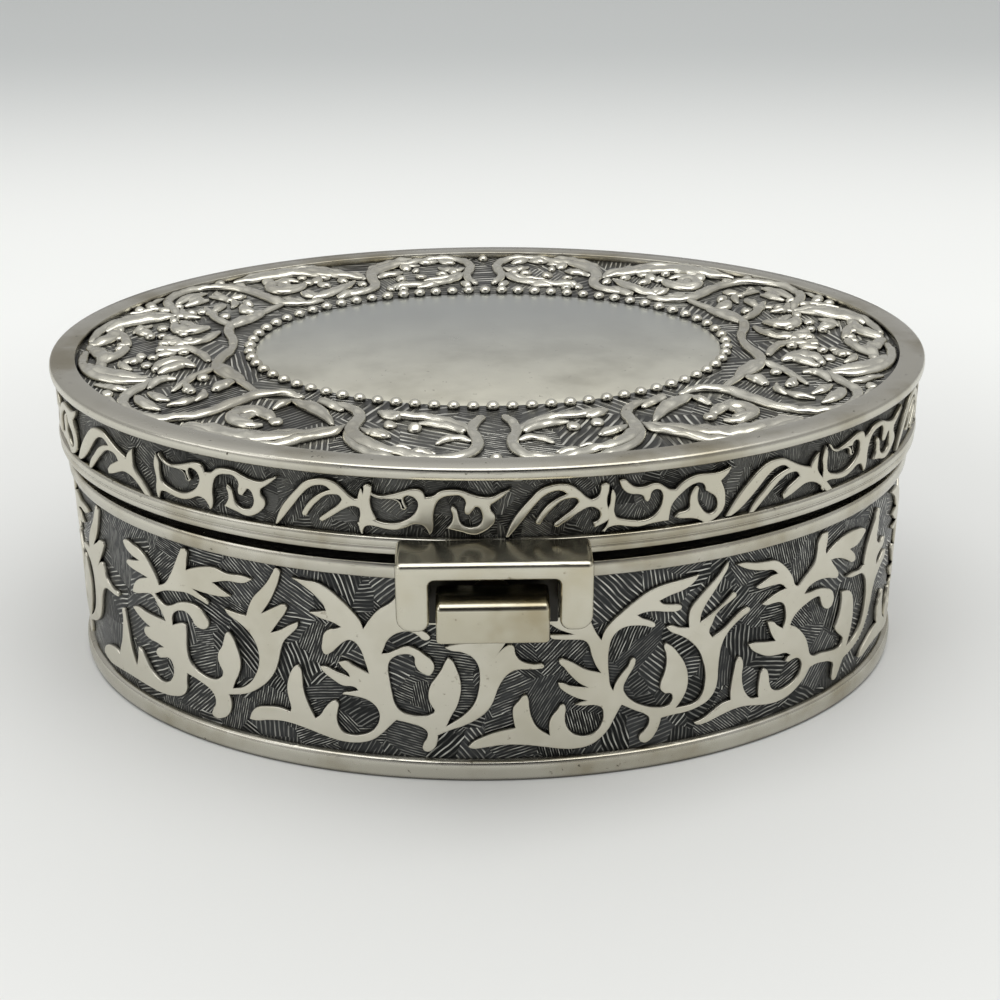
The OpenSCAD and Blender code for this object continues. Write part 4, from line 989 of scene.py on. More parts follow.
friezeShapes = {
    "scrollOne": [
        [(-54.3, 50.9), (-53.5, 50), (-52.38, 49.55), (-50.75, 49.83), (-49, 50.4), (-47.25, 50.9),
         (-46.05, 50.7)],
        [(-45.5, 49.65), (-44.38, 49.9), (-43.38, 50.65), (-41.75, 50.95), (-40.25, 50.83),
         (-38.75, 50.25), (-37.25, 49.83), (-35.75, 49.83), (-34.5, 50.45)],
        [(-32.88, 51.15), (-33.88, 50.08), (-35, 49.2)],
        [(-35.88, 48.58), (-35.95, 47.83), (-35.38, 46.95), (-35.3, 45.95), (-36, 44.95), (-37, 44.2),
         (-38, 43.75), (-39, 43.75), (-40.25, 44.15), (-41.5, 44.45)],
        [(-42.45, 44.7), (-41.95, 45.33), (-41.62, 45.95), (-41.55, 46.95), (-41.8, 47.83)],
        [(-41.62, 48.4), (-40.95, 47.83), (-40.7, 46.83), (-40.38, 45.7), (-39.62, 45), (-38.62, 44.88),
         (-37.7, 45.25), (-37.2, 46.2), (-37.3, 47.33), (-37.7, 48.08)],
        [(-38.12, 48.25), (-38.62, 47.58)],
        [(-39.05, 47), (-39.62, 47.08), (-39.8, 47.83), (-39.62, 48.83)],
        [(-39.8, 49.45), (-40.5, 50), (-41.5, 50), (-42.75, 49.75), (-43.62, 49.08), (-44.12, 47.95),
         (-44.38, 46.45), (-44.38, 44.95), (-44.62, 43.95)],
        [(-44.95, 43.55), (-45.5, 44.58), (-46, 45.08), (-46.62, 45.25), (-47.25, 45.2), (-48.5, 44.58),
         (-50, 44.15), (-51.5, 44.2), (-52.75, 44.45), (-53.75, 44.58), (-54.5, 44.4), (-54.8, 43.95)],
        [(-55, 43.05), (-55.4, 43.58), (-55.55, 44.95), (-55.3, 46.45), (-55.45, 47.45), (-55.62, 48.7),
         (-55.38, 49.95)],
        [(-55.05, 50.75), (-54.6, 49.45), (-54.62, 47.95), (-54.5, 46.95), (-54, 46.08), (-53, 45.58),
         (-51.5, 45.2), (-50, 45.25), (-48.5, 45.83), (-47.5, 46.58), (-46.88, 47.45), (-46.62, 48.45),
         (-47, 49.33), (-47.62, 49.7), (-48.38, 49.7), (-48.7, 49.2), (-48.55, 48.45)],
        [(-48.2, 47.83), (-48.62, 47.45)],
        [(-49.2, 47.65), (-49.38, 48.45), (-50, 48.95), (-51.25, 49.08), (-52.5, 49.08), (-53.5, 49.5),
         (-54.12, 50.2)],
        [(-54.6, 50.83)],
    ],
    "fingersOne": [
        [(-33.8, 43.25), (-32.88, 45.7), (-31.45, 47.83), (-30.05, 49.45), (-28.88, 50.7), (-27.25, 51.4),
         (-25.5, 51.6), (-24, 51.2), (-22.75, 50.2), (-21.75, 49.2)],
        [(-21, 48.75), (-20.12, 49.2), (-19.75, 50.08)],
        [(-19.7, 50.95), (-19.1, 51.3)],
        [(-18.4, 51), (-18.45, 49.95), (-18.7, 48.7), (-18.5, 47.2)],
        [(-17.8, 45.7), (-19, 44.83)],
        [(-20.5, 44.15)],
        [(-20.8, 44.95), (-19.95, 45.4), (-19.75, 46.45), (-20.38, 47.25), (-21.25, 47.55),
         (-22.5, 47.08), (-24.5, 45.7)],
        [(-26.1, 44.58), (-26.62, 44.83)],
        [(-26.55, 45.25), (-25, 46.5), (-23.62, 47.65)],
        [(-23.05, 48.45), (-23.38, 49.05), (-24.25, 49.15), (-25.38, 48.9), (-26.62, 47.9),
         (-27.75, 46.65)],
        [(-28.7, 45.15), (-29.3, 45.4)],
        [(-29.25, 45.95), (-28.2, 47.58), (-26.88, 48.83), (-25.62, 49.55)],
        [(-24.8, 49.9), (-25.5, 50.4), (-26.75, 50.4), (-28, 49.83), (-29.25, 48.58), (-30.5, 46.95),
         (-32, 44.95)],
        [(-33.38, 43.2)],
    ],
    "scrollTwo": [
        [(19.12, 51.5), (19.75, 50.8), (20.75, 50.17), (22, 50.1), (23.25, 50.42), (24.25, 50.35),
         (25.25, 49.67), (26, 49.17)],
        [(26.88, 49), (28, 50.05), (29.25, 50.67), (30.75, 50.92), (32.5, 50.8), (34, 50.8),
         (35.25, 51.1)],
        [(36, 51.42), (35.62, 50.42), (35, 49.8)],
        [(34.38, 49.25), (35, 47.8), (35.25, 46.3), (35.12, 44.8), (34.25, 43.55), (33, 42.8)],
        [(31.95, 42.45), (31, 43.3), (29.5, 43.85), (28, 44.05)],
        [(26.8, 44.45), (27.62, 45.1), (28.62, 45.25), (29.2, 45.6), (29.25, 46.8), (29.45, 47.92)],
        [(29.95, 48.8), (30.38, 49.05)],
        [(30.75, 48.67), (30.57, 47.8), (30.62, 46.67), (31.25, 45.42), (32.12, 44.42), (33, 44.17),
         (33.7, 44.67), (33.88, 45.67), (33.45, 46.8), (32.62, 47.5)],
        [(31.8, 48.05), (31.62, 48.85), (31, 49.42), (30.12, 49.5), (29, 49.05), (28, 48.3),
         (27.05, 47.42), (26.38, 46.42), (26.12, 45.17)],
        [(26, 44), (24.75, 44), (23, 43.85), (21.25, 43.6), (19.5, 43.85), (18, 44.17), (16.75, 44)],
        [(15.5, 43.25), (16.3, 44.5)],
        [(16.45, 45.42), (16.12, 46.55), (16.7, 47.92), (16.8, 49.3)],
        [(17, 50.35), (17.55, 49.3), (17.5, 47.8), (17.45, 46.42), (17.88, 45.55), (19, 45.1),
         (20.5, 44.75), (21.75, 44.6), (23, 44.85), (24, 45.55), (24.62, 46.55), (24.88, 47.8),
         (24.7, 48.8), (24.2, 49.3), (23.55, 49.35), (23.12, 49)],
        [(22.95, 48.17), (22.5, 47.55)],
        [(22, 47.92), (21.8, 48.5), (21, 48.9), (20, 49.05), (19, 49.55), (18.3, 50.55)],
        [(18.05, 51.42), (18.5, 51.67)],
    ],
    "fingersTwo": [
        [(35.42, 43.1), (36.5, 44.8), (38, 46.8), (39.5, 48.42), (41, 49.8), (42.5, 50.67), (44, 50.92),
         (45.5, 50.8), (46.75, 50.17), (48, 49.42), (49.5, 48.67)],
        [(51.12, 48.05), (51.62, 49.05)],
        [(52.8, 50.1), (52.62, 48.55), (52.7, 47.3), (53.5, 46.05), (54.75, 44.8), (56, 43.42)],
        [(56.5, 42.75)],
        [(55, 42.75), (54, 43.8), (53, 44.67), (51.5, 45.35), (50.25, 45.42), (49, 45), (47.5, 44.3)],
        [(46, 43.8)],
        [(45.8, 44.65), (46.75, 45.67), (48, 46.42)],
        [(48.95, 47), (48.38, 47.75), (47.25, 48), (45.75, 47.67), (44.25, 46.55), (42.75, 45.17),
         (41.5, 43.92)],
        [(40.33, 42.75)],
        [(39.55, 42.92), (40.5, 44.55), (42, 46.05), (43.5, 47.55), (45, 48.42)],
        [(46.55, 48.9), (45.75, 49.5), (44.5, 49.55), (43, 48.8), (41.25, 47.05), (39.5, 45.3),
         (37.75, 43.8)],
        [(36.38, 43)],
    ],
}
hands = {"one": ("scrollOne", "fingersOne"), "two": ("scrollTwo", "fingersTwo")}
frieze = {"ground": 1.5, "top": 0.7, "soft": 0.26, "softSteps": 3, "resolution": 4,
          "period": 36.9, "front": (("one", 0.0), ("one", 35.0), ("two", 0.0)),
          "sides": 8, "firstOne": 109.3, "firstTwo": 36.0}


def makeFrieze():
    places = list(frieze["front"])
    for i in range(frieze["sides"]):
        hand, first = ("two", frieze["firstTwo"]) if i % 2 else ("one", frieze["firstOne"])
        places.append((hand, first + frieze["period"] * i))
    for number, (hand, shift) in enumerate(places, 1):
        bm = joined([raised(key, friezeShapes[key], frieze, shift, friezeWalk, friezeInset)
                     for key in hands[hand]])
        addPiece("frieze_scroll_%d" % number, bm, "lid", friezeSilver, 50)


makeFrieze()
print("frieze made")


# Relief on the lid: a quarter, turned over to make the other three

# Vines and leaves are paths of x, y and half width. A berry is x, y and radius

vines = [
    [(1.9, -34.2, 0.6), (3.0, -36.6, 0.7), (3.4, -39.5, 0.75), (2.8, -42.4, 0.8), (2.7, -45.4, 0.8),
     (3.9, -48.2, 0.85), (6.0, -49.8, 0.8), (8.8, -50.2, 0.8), (12.0, -49.0, 0.75), (14.5, -47.2, 0.8),
     (17.0, -46.2, 0.95), (19.2, -44.4, 1.1), (20.9, -42.0, 1.1), (21.8, -39.0, 1.0), (21.4, -36.2, 0.9),
     (20.9, -33.4, 0.85), (21.6, -30.8, 0.8), (23.6, -28.8, 0.75), (26.2, -27.6, 0.6)],
    [(3.6, -40.2, 0.5), (5.0, -37.6, 0.7), (7.2, -35.4, 0.75), (10.0, -34.0, 0.8), (13.0, -33.4, 0.8),
     (16.0, -32.6, 0.9), (17.8, -31.6, 0.3)],
    [(15.4, -33.4, 0.7), (16.4, -32.2, 0.8), (16.6, -31.0, 0.3)],
    [(4.7, -39.8, 0.5), (6.2, -38.2, 0.75), (8.6, -37.0, 0.7), (11.4, -36.3, 0.3)],
    [(3.8, -43.2, 0.4), (5.6, -42.2, 0.65), (7.4, -42.8, 0.6), (8.7, -44.2, 0.3)],
    [(9.2, -48.2, 0.3), (11.2, -47.6, 0.75), (12.8, -48.4, 0.4)],
    [(12.8, -46.0, 0.25), (14.2, -45.5, 0.5), (15.6, -45.9, 0.4)],
    [(16.2, -41.2, 0.4), (17.4, -40.2, 0.8), (19.2, -39.6, 0.75), (20.4, -38.2, 0.4)],
    [(14.6, -50.2, 0.4), (16.6, -49.0, 0.8), (18.8, -47.4, 0.75), (20.8, -45.2, 0.7), (22.2, -42.4, 0.6),
     (22.7, -39.4, 0.4)],
    [(23.0, -37.2, 0.4), (24.3, -39.2, 0.8), (26.8, -40.4, 0.9), (29.4, -41.8, 0.95), (32.0, -43.8, 0.8),
     (35.0, -44.3, 0.85), (38.4, -43.2, 0.95), (41.8, -41.2, 0.9), (45.0, -38.8, 0.8),
     (47.8, -36.4, 0.3)],
    [(27.4, -40.2, 0.5), (30.4, -39.6, 0.9), (33.4, -40.6, 1.1), (36.8, -41.0, 1.2), (40.2, -39.6, 1.1),
     (43.4, -37.4, 0.8), (46.0, -36.8, 0.5)],
    [(25.0, -35.8, 0.3), (26.0, -33.4, 0.75), (27.6, -30.6, 1.0), (29.4, -28.2, 0.9), (31.0, -26.4, 0.4)],
    [(24.0, -30.4, 0.3), (25.2, -28.6, 0.8), (27.0, -26.6, 0.7)],
    [(32.0, -26.4, 0.4), (33.4, -27.6, 0.8), (34.4, -29.2, 0.4)],
    [(34.4, -35.0, 0.4), (34.6, -32.8, 0.6), (36.0, -30.8, 0.75), (38.2, -29.8, 0.85), (40.2, -31.0, 0.9),
     (40.6, -33.2, 0.85), (39.4, -35.4, 0.8), (37.4, -36.6, 0.7), (36.0, -36.2, 0.4)],
    [(37.2, -31.4, 0.6), (38.8, -33.2, 0.9), (38.4, -35.2, 0.5)],
    [(30.6, -24.6, 0.5), (33.0, -23.0, 0.7), (36.0, -22.8, 0.8), (38.2, -23.6, 0.9), (40.2, -25.8, 0.95),
     (42.6, -28.6, 0.9), (45.4, -31.2, 0.85), (48.8, -32.8, 0.85), (52.2, -33.0, 0.85),
     (55.4, -31.6, 0.8), (57.8, -28.8, 0.8), (58.9, -25.4, 0.8), (58.4, -22.2, 0.8), (56.8, -19.0, 0.75),
     (56.0, -16.4, 0.5)],
    [(52.6, -29.2, 0.3), (54.6, -27.8, 0.75), (56.2, -25.8, 0.75), (57.2, -23.4, 0.3)],
    [(51.8, -25.2, 0.35), (53.2, -24.4, 0.8), (54.8, -22.6, 0.4)],
    [(48.6, -21.6, 0.7), (49.4, -19.6, 0.65), (50.8, -17.8, 0.3)],
    [(42.4, -17.8, 0.5), (43.6, -19.0, 0.95), (44.8, -20.6, 0.6)],
    [(40.4, -18.4, 0.3), (41.6, -15.8, 0.85), (43.8, -13.6, 0.9), (45.2, -11.6, 0.4)],
    [(37.6, -22.6, 0.5), (39.6, -19.6, 0.65), (41.8, -16.6, 0.7), (44.4, -13.8, 0.75), (45.8, -10.4, 0.8),
     (45.6, -6.8, 0.8), (44.6, -3.4, 0.75), (44.2, -0.2, 0.6)],
    [(45.8, -11.2, 0.6), (47.6, -13.0, 0.7), (49.2, -15.4, 0.65), (50.4, -18.4, 0.6), (51.6, -21.0, 0.3)],
    [(49.8, -9.8, 0.5), (51.4, -9.2, 0.95), (53.2, -10.6, 1.0), (54.8, -12.6, 0.5)],
    [(47.6, -7.0, 0.5), (48.8, -4.4, 0.75), (50.2, -2.6, 0.7), (53.2, -1.4, 0.8), (56.6, -2.2, 0.6)],
    [(52.2, -15.6, 0.4), (53.8, -15.8, 0.8), (55.2, -17.6, 0.75), (55.6, -19.6, 0.4)],
    [(56.2, -16.4, 0.5), (59.2, -16.6, 0.85), (62.4, -15.8, 0.9), (65.4, -13.8, 0.9), (67.6, -10.8, 0.8),
     (68.8, -6.8, 0.75), (69.0, -3.0, 0.6)],
    [(62.6, -1.0, 0.7), (63.6, -4.6, 0.8), (65.4, -7.6, 0.7), (66.0, -9.8, 0.3)],
    [(59.6, -20.4, 0.3), (62.2, -19.0, 0.55), (64.6, -17.8, 0.3)],
]
leaves = [
    [(23.2, -37.6, 0.5), (25.6, -38.8, 1.1), (28.6, -39.8, 1.4), (32.0, -41.4, 1.5), (35.5, -41.8, 1.7),
     (39.0, -40.6, 2.0), (42.5, -38.6, 1.8), (45.6, -36.8, 1.4), (47.8, -35.8, 0.5)],
    [(25.0, -36.0, 0.4), (26.2, -33.0, 1.0), (28.0, -30.0, 1.5), (30.2, -27.6, 1.3), (32.0, -26.0, 0.5)],
    [(34.6, -33.6, 0.8), (36.4, -31.4, 1.2), (38.6, -30.6, 1.4), (40.4, -32.0, 1.4), (40.0, -34.4, 1.3),
     (38.0, -35.2, 1.0)],
    [(50.2, -9.4, 0.9), (52.4, -8.0, 1.6), (54.6, -8.6, 1.6), (56.0, -11.4, 0.6)],
    [(57.0, -15.6, 0.7), (60.0, -14.8, 1.5), (63.0, -13.4, 1.8), (65.6, -11.6, 1.6), (67.4, -8.6, 0.6)],
    [(68.4, -1.0, 1.0), (66.6, -3.4, 1.5), (65.4, -6.2, 1.4), (66.0, -9.0, 0.4)],
    [(41.0, -18.0, 0.5), (42.2, -15.0, 1.3), (44.2, -12.2, 1.4), (45.8, -9.6, 0.6)],
    [(42.6, -17.6, 0.7), (43.8, -18.8, 1.5), (44.6, -20.6, 0.9)],
    [(53.0, -28.8, 0.5), (55.0, -26.6, 1.1), (56.8, -23.6, 0.5)],
    [(52.0, -25.0, 0.5), (53.6, -23.8, 1.1), (55.2, -22.0, 0.5)],
    [(52.4, -1.2, 0.8), (54.4, -2.0, 1.2), (56.6, -1.2, 0.8)],
    [(59.6, -26.6, 0.3), (61.0, -24.8, 0.6), (62.0, -22.6, 0.5)],
    [(9.6, -48.6, 0.5), (11.4, -47.4, 1.0), (13.0, -48.0, 0.5)],
    [(15.2, -33.6, 1.1), (16.6, -32.6, 1.2), (17.8, -31.4, 0.4)],
    [(16.8, -41.2, 0.8), (18.2, -40.2, 1.1), (20.0, -39.0, 0.5)],
    [(23.8, -30.2, 0.5), (25.2, -28.6, 1.1), (27.2, -27.0, 0.8)],
    [(60.0, -11.0, 0.4), (61.6, -9.4, 0.9), (62.4, -7.4, 0.4)],
    [(47.4, -24.6, 0.4), (49.2, -26.4, 1.0), (51.4, -27.4, 0.4)],
    [(46.6, -21.0, 0.4), (46.4, -23.4, 0.9), (47.4, -25.4, 0.4)],
    [(58.6, -20.6, 0.4), (60.6, -20.0, 0.9), (63.0, -18.8, 0.3)],
]
berries = [
    (12.2, -38.4, 1.05), (16.0, -36.8, 1.0), (33.7, -35.0, 1.05), (47.4, -15.6, 1.0), (61.9, -22.6, 1.0),
    (57.6, -9.4, 1.0), (60.2, -7.4, 0.95), (57.2, -5.4, 0.9), (59.2, -5.0, 0.9), (49.2, -21.0, 0.9),
    (53.6, -6.6, 0.9)]
# A knob is x, y, half length, half width and turn
knobs = [
    (50.0, 17.5, 1.3, 1.0, 20), (51.9, 18.3, 1.2, 1.0, 0), (53.7, 17.6, 1.2, 1.0, 0),
    (55.3, 16.2, 1.2, 1.0, -30), (56.2, 13.6, 1.2, 0.9, -80), (55.8, 11.2, 1.1, 0.9, -90),
    (56.6, 21.6, 1.1, 1.0, 0), (58.4, 22.6, 1.1, 1.0, 0), (58.8, 19.7, 1.5, 1.0, 30),
    (61.5, 21.6, 1.2, 1.1, 0), (63.4, 20.0, 1.1, 1.0, 0), (60.4, 16.2, 2.0, 1.2, 130),
    (62.0, 14.2, 1.2, 0.9, 0), (54.2, 25.8, 2.4, 1.6, 30), (46.2, 26.8, 1.7, 1.1, -30),
    (47.4, 24.9, 1.1, 0.9, 0), (50.2, 28.4, 1.5, 0.9, 70), (46.6, 33.6, 1.4, 1.2, 60),
    (48.8, 33.4, 1.5, 1.3, 0), (50.6, 35.0, 1.4, 1.1, 40), (41.5, 36.3, 1.7, 1.3, 90),
    (37.6, 33.4, 1.5, 1.1, 60), (35.2, 40.8, 1.1, 0.9, 90), (35.2, 38.3, 1.0, 0.9, 0),
    (32.2, 36.4, 1.7, 1.2, 110), (35.6, 24.8, 2.6, 1.4, 25), (32.6, 28.4, 2.2, 1.3, 40),
    (44.0, 22.9, 1.6, 1.0, 60), (44.4, 12.3, 1.3, 0.8, 70), (60.4, 7.0, 2.0, 1.1, 25),
    (55.2, 3.6, 2.1, 1.0, 25), (52.3, 3.1, 1.1, 0.8, 0), (53.5, 0.9, 1.2, 0.9, 0),
    (56.2, 1.2, 1.2, 0.9, 0), (64.7, 4.4, 1.4, 1.0, 20), (67.4, 2.8, 1.5, 1.1, -20),
    (63.4, 0.9, 1.1, 0.8, 20), (65.2, 9.2, 1.6, 0.9, 80), (7.4, 48.2, 2.2, 1.2, 35),
    (10.0, 50.0, 1.1, 0.9, 0), (15.4, 44.6, 1.9, 1.2, 70), (18.2, 47.3, 1.6, 1.0, 90),
    (13.3, 42.6, 1.1, 0.8, 90), (6.0, 41.4, 1.3, 1.0, 60), (8.2, 40.2, 1.3, 0.9, 20),
    (28.6, 42.2, 1.9, 1.1, 70), (25.4, 39.2, 1.7, 1.1, 30), (30.8, 38.2, 1.3, 1.0, -30),
    (30.6, 33.8, 1.6, 1.0, 30), (27.2, 36.3, 1.4, 0.9, 40), (3.6, 33.6, 1.6, 0.9, 60),
    (10.8, 33.0, 2.4, 1.0, -20), (17.8, 31.4, 1.2, 0.9, 70), (15.4, 30.6, 1.0, 0.8, 0),
    (21.6, 44.6, 1.3, 1.0, 0), (23.4, 34.2, 1.3, 0.9, 50)]
relief = {"field": 53.5, "lift": 0.15, "height": 1.25, "wide": 1.28, "lumps": 0.5, "lumpSize": 0.55,
          "knobHeight": 1.05, "berryLift": 0.1, "berryGrowth": 1.1, "cut": -0.2, "endFrom": 50,
          "endDepth": 12, "seedStep": 3.7, "middleBerry": 50.0, "sides": 4, "resolution": 5,
          "roundEnd": ((0.6, 0.8), (0.95, 0.15))}


# Adds points beyond both ends, at a share of the half width and with a smaller one
def roundEnds(path):
    path, widths = [Vector((x, y, 0.0)) for x, y, width in path], [width for x, y, width in path]
    spots, sizes = list(path), list(widths)
    for end, inner in ((0, 1), (-1, -2)):
        ahead = (path[end] - path[inner]).normalized() * widths[end]
        for reach, share in relief["roundEnd"]:
            place = 0 if end == 0 else len(spots)
            spots.insert(place, path[end] + ahead * reach)
            sizes.insert(place, widths[end] * share)
    return spots, sizes


def strokeMesh(strokes):
    curve = bpy.data.curves.new("strokes", "CURVE")
    curve.dimensions = "3D"
    curve.resolution_u = relief["resolution"]
    curve.bevel_depth = 1.0
    curve.bevel_resolution = relief["sides"]
    curve.use_fill_caps = True
    for path in strokes:
        spots, sizes = roundEnds(path)
        spline = curve.splines.new("BEZIER")
        spline.bezier_points.add(len(spots) - 1)
        for target, spot, size in zip(spline.bezier_points, spots, sizes):
            target.co = spot
            target.radius = size
            target.handle_left_type = target.handle_right_type = "AUTO"
    return curveToBm(curve)


# Drops what lies sunk in the ground, where nobody sees it
def keepFront(bm, below):
    bmesh.ops.bisect_plane(bm, geom=allOf(bm), plane_co=(0, 0, below), plane_no=(0, 0, -1),
                           clear_outer=True)
    bmesh.ops.holes_fill(bm, edges=[e for e in bm.edges if e.is_boundary])


# Brings tall forms down to one height, and leaves the small unevenness of a casting
def wear(bm, seed):
    height, size = relief["height"], relief["lumpSize"]
    for vert in bm.verts:
        vert.co.z = height * math.tanh(vert.co.z / height)
        lump = lumpNoise.noise(Vector((vert.co.x * size, vert.co.y * size, seed)))
        vert.co.z += relief["lumps"] * lump * max(vert.co.z, 0) / height


def makeQuarter(name, flipX, flipY, seed):
    strokes = [[(x, y, width * relief["wide"]) for x, y, width in path] for path in vines] + leaves
    stems = fromStore("vines", strokeMesh, strokes)
    bmesh.ops.translate(stems, vec=(0, 0, relief["lift"]), verts=stems.verts)
    parts = [stems]
    for x, y, radius in berries:
        place = Matrix.Translation((x, y, relief["berryLift"]))
        parts.append(knob(place @ Matrix.Scale(radius * relief["berryGrowth"], 4)))
    for x, y, long, wide, turn in knobs:
        if flipY < 0 or (y < relief["endDepth"] and x > relief["endFrom"]):
            place = Matrix.Translation((x, -y, 0.0)) @ Matrix.Rotation(math.radians(-turn), 4, "Z")
            parts.append(knob(place @ Matrix.Diagonal((long, wide, relief["knobHeight"], 1))))
    bm = joined(parts)
    keepFront(bm, relief["cut"])
    wear(bm, seed)
    bmesh.ops.translate(bm, vec=(0, 0, relief["field"]), verts=bm.verts)
    bmesh.ops.scale(bm, vec=(flipX, flipY, 1), verts=bm.verts)
    addPiece(name, bm, "lid", reliefSilver, 60)


for number, (name, flipX, flipY) in enumerate((
        ("lid_vine_front_right", 1, 1), ("lid_vine_front_left", -1, 1),
        ("lid_vine_back_right", 1, -1), ("lid_vine_back_left", -1, -1))):
    makeQuarter(name, flipX, flipY, relief["seedStep"] * number)
middleBerries = [knob(Matrix.Translation((0, y, relief["field"])), 16)
                 for y in (-relief["middleBerry"], relief["middleBerry"])]
addPiece("lid_middle_berries", joined(middleBerries), "lid", reliefSilver)
for stored in shapeStore.values():
    bpy.data.meshes.remove(stored)
print("lid relief made")


# Latch, hinge, boards and base plate keep the frame's own shapes

fittings = {
    steel: ["hinge_leaf_body", "hinge_leaf_lid", "hinge_pin", "hinge_screws_body", "hinge_screws_lid",
            "housing_screws", "bracket_screws", "striker_rivets", "button_stem"],
    latchSteel: ["latch_hook", "hook_clip", "lid_striker", "latch_spring", "latch_housing"],
    brass: ["latch_bush"],
    baseSteel: ["base_plate"],
    card: ["base_board", "lid_board"],
}
for material, names in fittings.items():
    for name in names:
        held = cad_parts[name].data.materials
        for number in range(len(held)):
            held[number] = material
print("fittings finished")


# Pads and linings

padForm = {"steps": 144, "puckers": 46, "drift": 5, "puckerFrom": 0.88, "puckerWidth": 0.12,
           "drawnIn": 0.002, "puckerDepth": 0.04, "sag": 0.05, "sagSize": 0.09, "sagSeed": 3.0,
           "edge": [(0.0, 0.02), (0.5, 0.02), (0.975, 0.02), (0.992, 0.1), (1.0, 0.28), (0.996, 0.4),
                    (0.985, 0.52), (0.965, 0.64), (0.935, 0.74), (0.9, 0.81), (0.85, 0.865),
                    (0.78, 0.905), (0.7, 0.935), (0.6, 0.96), (0.5, 0.975), (0.4, 0.985), (0.3, 0.992),
                    (0.2, 0.996), (0.1, 1.0), (0.0, 1.0)]}
basePadForm = {"axes": (67.9, 48.9), "foot": 4.9, "rise": 4.6}
lidPadForm = {"axes": (67.3, 48.3), "foot": 50.4, "rise": -3.68}
liningForm = {"edgeSoft": 0.3, "flatWithin": 1.5}
feltForm = {"long": 69.9, "wide": 50.9, "thick": 1.3, "edge": 0.3, "edgeShare": 0.996}


# A crowned pad, drawn in where its cover is folded under, with small puckers at the rim
def makePad(name, node, form, body):
    long, wide = form["axes"]
    bm = disc([(share, form["rise"] * up) for share, up in padForm["edge"]], form["axes"],
              padForm["steps"])
    for vert in bm.verts:
        angle = math.atan2(vert.co.y / wide, vert.co.x / long)
        out = math.hypot(vert.co.x / long, vert.co.y / wide)
        height = abs(vert.co.z / form["rise"])
        rim = max(0.0, out - padForm["puckerFrom"]) / padForm["puckerWidth"]
        pucker = math.sin(angle * padForm["puckers"] + 2 * math.sin(angle * padForm["drift"])) * rim
        size = padForm["sagSize"]
        soft = lumpNoise.noise(Vector((vert.co.x * size, vert.co.y * size, padForm["sagSeed"])))
        vert.co.x *= 1 - padForm["drawnIn"] * (1 + pucker) * height
        vert.co.y *= 1 - padForm["drawnIn"] * (1 + pucker) * height
        dent = padForm["puckerDepth"] * (1 + pucker) * (out > padForm["puckerFrom"])
        vert.co.z *= 1 - padForm["sag"] * (0.5 + soft) - dent
    bmesh.ops.translate(bm, vec=(0, 0, form["foot"]), verts=bm.verts)
    pad = addPiece(name, bm, body, blackVelvet, 70)
    smooth = pad.modifiers.new("cover", "SUBSURF")
    smooth.levels = smooth.render_levels = 1
    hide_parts(node)


# Velvet over a strip of card: the frame's strip with soft edges
def makeLining(name, node, body):
    bm = bmesh.new()
    bm.from_mesh(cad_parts[node].data)
    bmesh.ops.scale(bm, vec=(1 / mm, 1 / mm, 1 / mm), verts=bm.verts)
    bmesh.ops.remove_doubles(bm, verts=bm.verts, dist=0.01)
    bmesh.ops.dissolve_limit(bm, angle_limit=math.radians(liningForm["flatWithin"]), verts=bm.verts,
                             edges=bm.edges)
    bmesh.ops.bevel(bm, geom=sharpEdges(bm, 50), offset=liningForm["edgeSoft"], segments=3,
                    profile=0.5, affect="EDGES", material=-1)
    bmesh.ops.triangulate(bm, faces=bm.faces)
    lining = addPiece(name, bm, body, blackVelvet, 60)
    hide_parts(node)


def makeFelt():
    long, wide, thick, edge = (feltForm[part] for part in ("long", "wide", "thick", "edge"))
    share = feltForm["edgeShare"]
    outline = [(0, 0.0), (share, 0.0), (1.0, edge), (1.0, thick - edge), (share, thick), (0, thick)]
    felt = addPiece("base_felt_sheet", disc(outline, (long, wide)), "box", blackFelt)
    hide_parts("base_felt")


makePad("base_pad_velvet", "base_pad", basePadForm, "box")
makePad("lid_pad_velvet", "lid_pad", lidPadForm, "lid")
makeLining("wall_lining_velvet", "wall_lining", "box")
makeLining("lid_lining_velvet", "lid_lining", "lid")
makeFelt()
print("lining and pads made")


# Stage: floor, sky, lights and camera

# The floor's near colour and span paint the shadow round the box; its behind colour and span paint shade
# far behind it
floorLook = {"nearPaintedShade": (0.76, 0.765, 0.745), "far": (0.94, 0.95, 0.925), "span": (0.09, 0.23),
             "paintedShadeBehind": (0.62, 0.64, 0.63), "paintedShadeBehindSpan": (0.24, 0.6), "half": 3}
skyLook = {"steps": [(0.0, 0.55), (0.2, 0.5), (0.45, 0.46), (0.7, 0.7), (1.0, 0.9)],
           "darkToward": (0.0, -0.78, 0.62), "darkSpan": (0.8, 0.94), "dark": (0.03, 0.03, 0.032),
           "seen": (0.72, 0.73, 0.735)}
view = {"at": (-0.006043, -0.285387, 0.155788), "pitch": 0.433, "yaw": -0.028, "roll": -0.001,
        "lens": 62.61, "sensor": 36, "clip": 0.01}


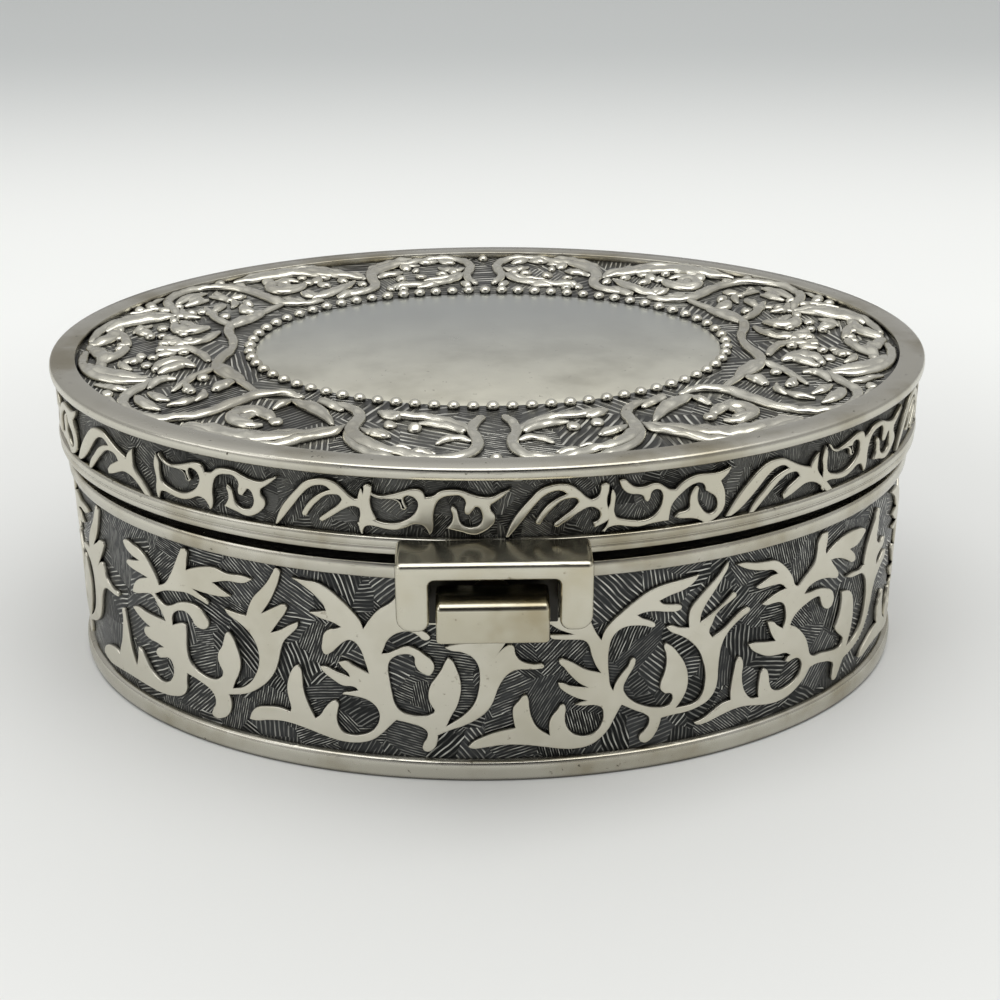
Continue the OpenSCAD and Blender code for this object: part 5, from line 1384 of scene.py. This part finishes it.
# Painted shadow: the floor is darker close to the box, standing in for the soft shadow round it, and
# painted shade greys it far behind, where the backdrop is less lit
def makeFloor():
    material, tree, shader, place = newMaterial("floor")
    distance = vectorMaths(tree, "LENGTH", place["Object"])["Value"]
    paperWithPaintedShadow = mixColour(tree, mapRange(tree, distance, *floorLook["span"]), floorLook["nearPaintedShade"],
                      floorLook["far"])
    paintedShadeBehind = mapRange(tree, separated(tree, place["Object"])["Y"], *floorLook["paintedShadeBehindSpan"])
    feed(tree, shader.inputs["Base Color"], mixColour(tree, paintedShadeBehind, paperWithPaintedShadow, floorLook["paintedShadeBehind"]))
    shader.inputs["Roughness"].default_value = 0.6
    bm = bmesh.new()
    bmesh.ops.create_grid(bm, x_segments=1, y_segments=1, size=floorLook["half"])
    mesh = bpy.data.meshes.new("floor")
    bm.to_mesh(mesh)
    bm.free()
    mesh.materials.append(material)
    floor = bpy.data.objects.new("floor", mesh)
    bpy.context.scene.collection.objects.link(floor)


# Light from all round, with a dark patch where the room behind the camera reflects
def makeSky():
    world = bpy.data.worlds.new("studio")
    world.use_nodes = True
    bpy.context.scene.world = world
    tree = world.node_tree
    direction = tree.nodes.new("ShaderNodeTexCoord").outputs["Generated"]
    ramp = addNode(tree, "ValToRGB", {"Fac": separated(tree, direction)["Z"]})
    steps = ramp.color_ramp.elements
    for position, value in skyLook["steps"][1:-1]:
        steps.new(position)
    for step, (position, value) in zip(steps, skyLook["steps"]):
        step.position = position
        step.color = (value, value, value, 1)
    toward = vectorMaths(tree, "DOT_PRODUCT", direction, skyLook["darkToward"])["Value"]
    dim = mapRange(tree, toward, *skyLook["darkSpan"])
    sky = mixColour(tree, dim, ramp.outputs[0], skyLook["dark"])
    ray = tree.nodes.new("ShaderNodeLightPath").outputs["Is Camera Ray"]
    feed(tree, tree.nodes["Background"].inputs["Color"], mixColour(tree, ray, sky, skyLook["seen"]))


def areaLight(name, spot, aim, size, power):
    light = bpy.data.lights.new(name, "AREA")
    light.shape = "RECTANGLE"
    light.size, light.size_y = size
    light.energy = power
    obj = bpy.data.objects.new(name, light)
    obj.location = spot
    obj.rotation_euler = (Vector(aim) - Vector(spot)).to_track_quat("-Z", "Y").to_euler()
    bpy.context.scene.collection.objects.link(obj)


def makeCamera():
    camera = bpy.data.cameras.new("camera")
    camera.lens = view["lens"]
    camera.sensor_width = view["sensor"]
    camera.clip_start = view["clip"]
    obj = bpy.data.objects.new("camera", camera)
    bpy.context.scene.collection.objects.link(obj)
    pitch, yaw = view["pitch"], view["yaw"]
    forward = Vector((-math.sin(yaw) * math.cos(pitch), math.cos(yaw) * math.cos(pitch),
                      -math.sin(pitch)))
    right = Vector((math.cos(yaw), math.sin(yaw), 0))
    up = right.cross(forward)
    turned = Matrix((right, up, -forward)).transposed() @ Matrix.Rotation(view["roll"], 3, "Z")
    obj.matrix_world = Matrix.Translation(view["at"]) @ turned.to_4x4()
    bpy.context.scene.camera = obj


makeFloor()
makeSky()
areaLight("top_light", (0.06, -0.2, 1.0), (0, 0, 0), (1.1, 0.9), 6.2)
areaLight("left_light", (-0.9, -0.5, 0.6), (0, 0, 0.03), (0.6, 0.6), 1.4)
makeCamera()
bpy.context.scene.view_settings.view_transform = "Standard"
print("stage made")
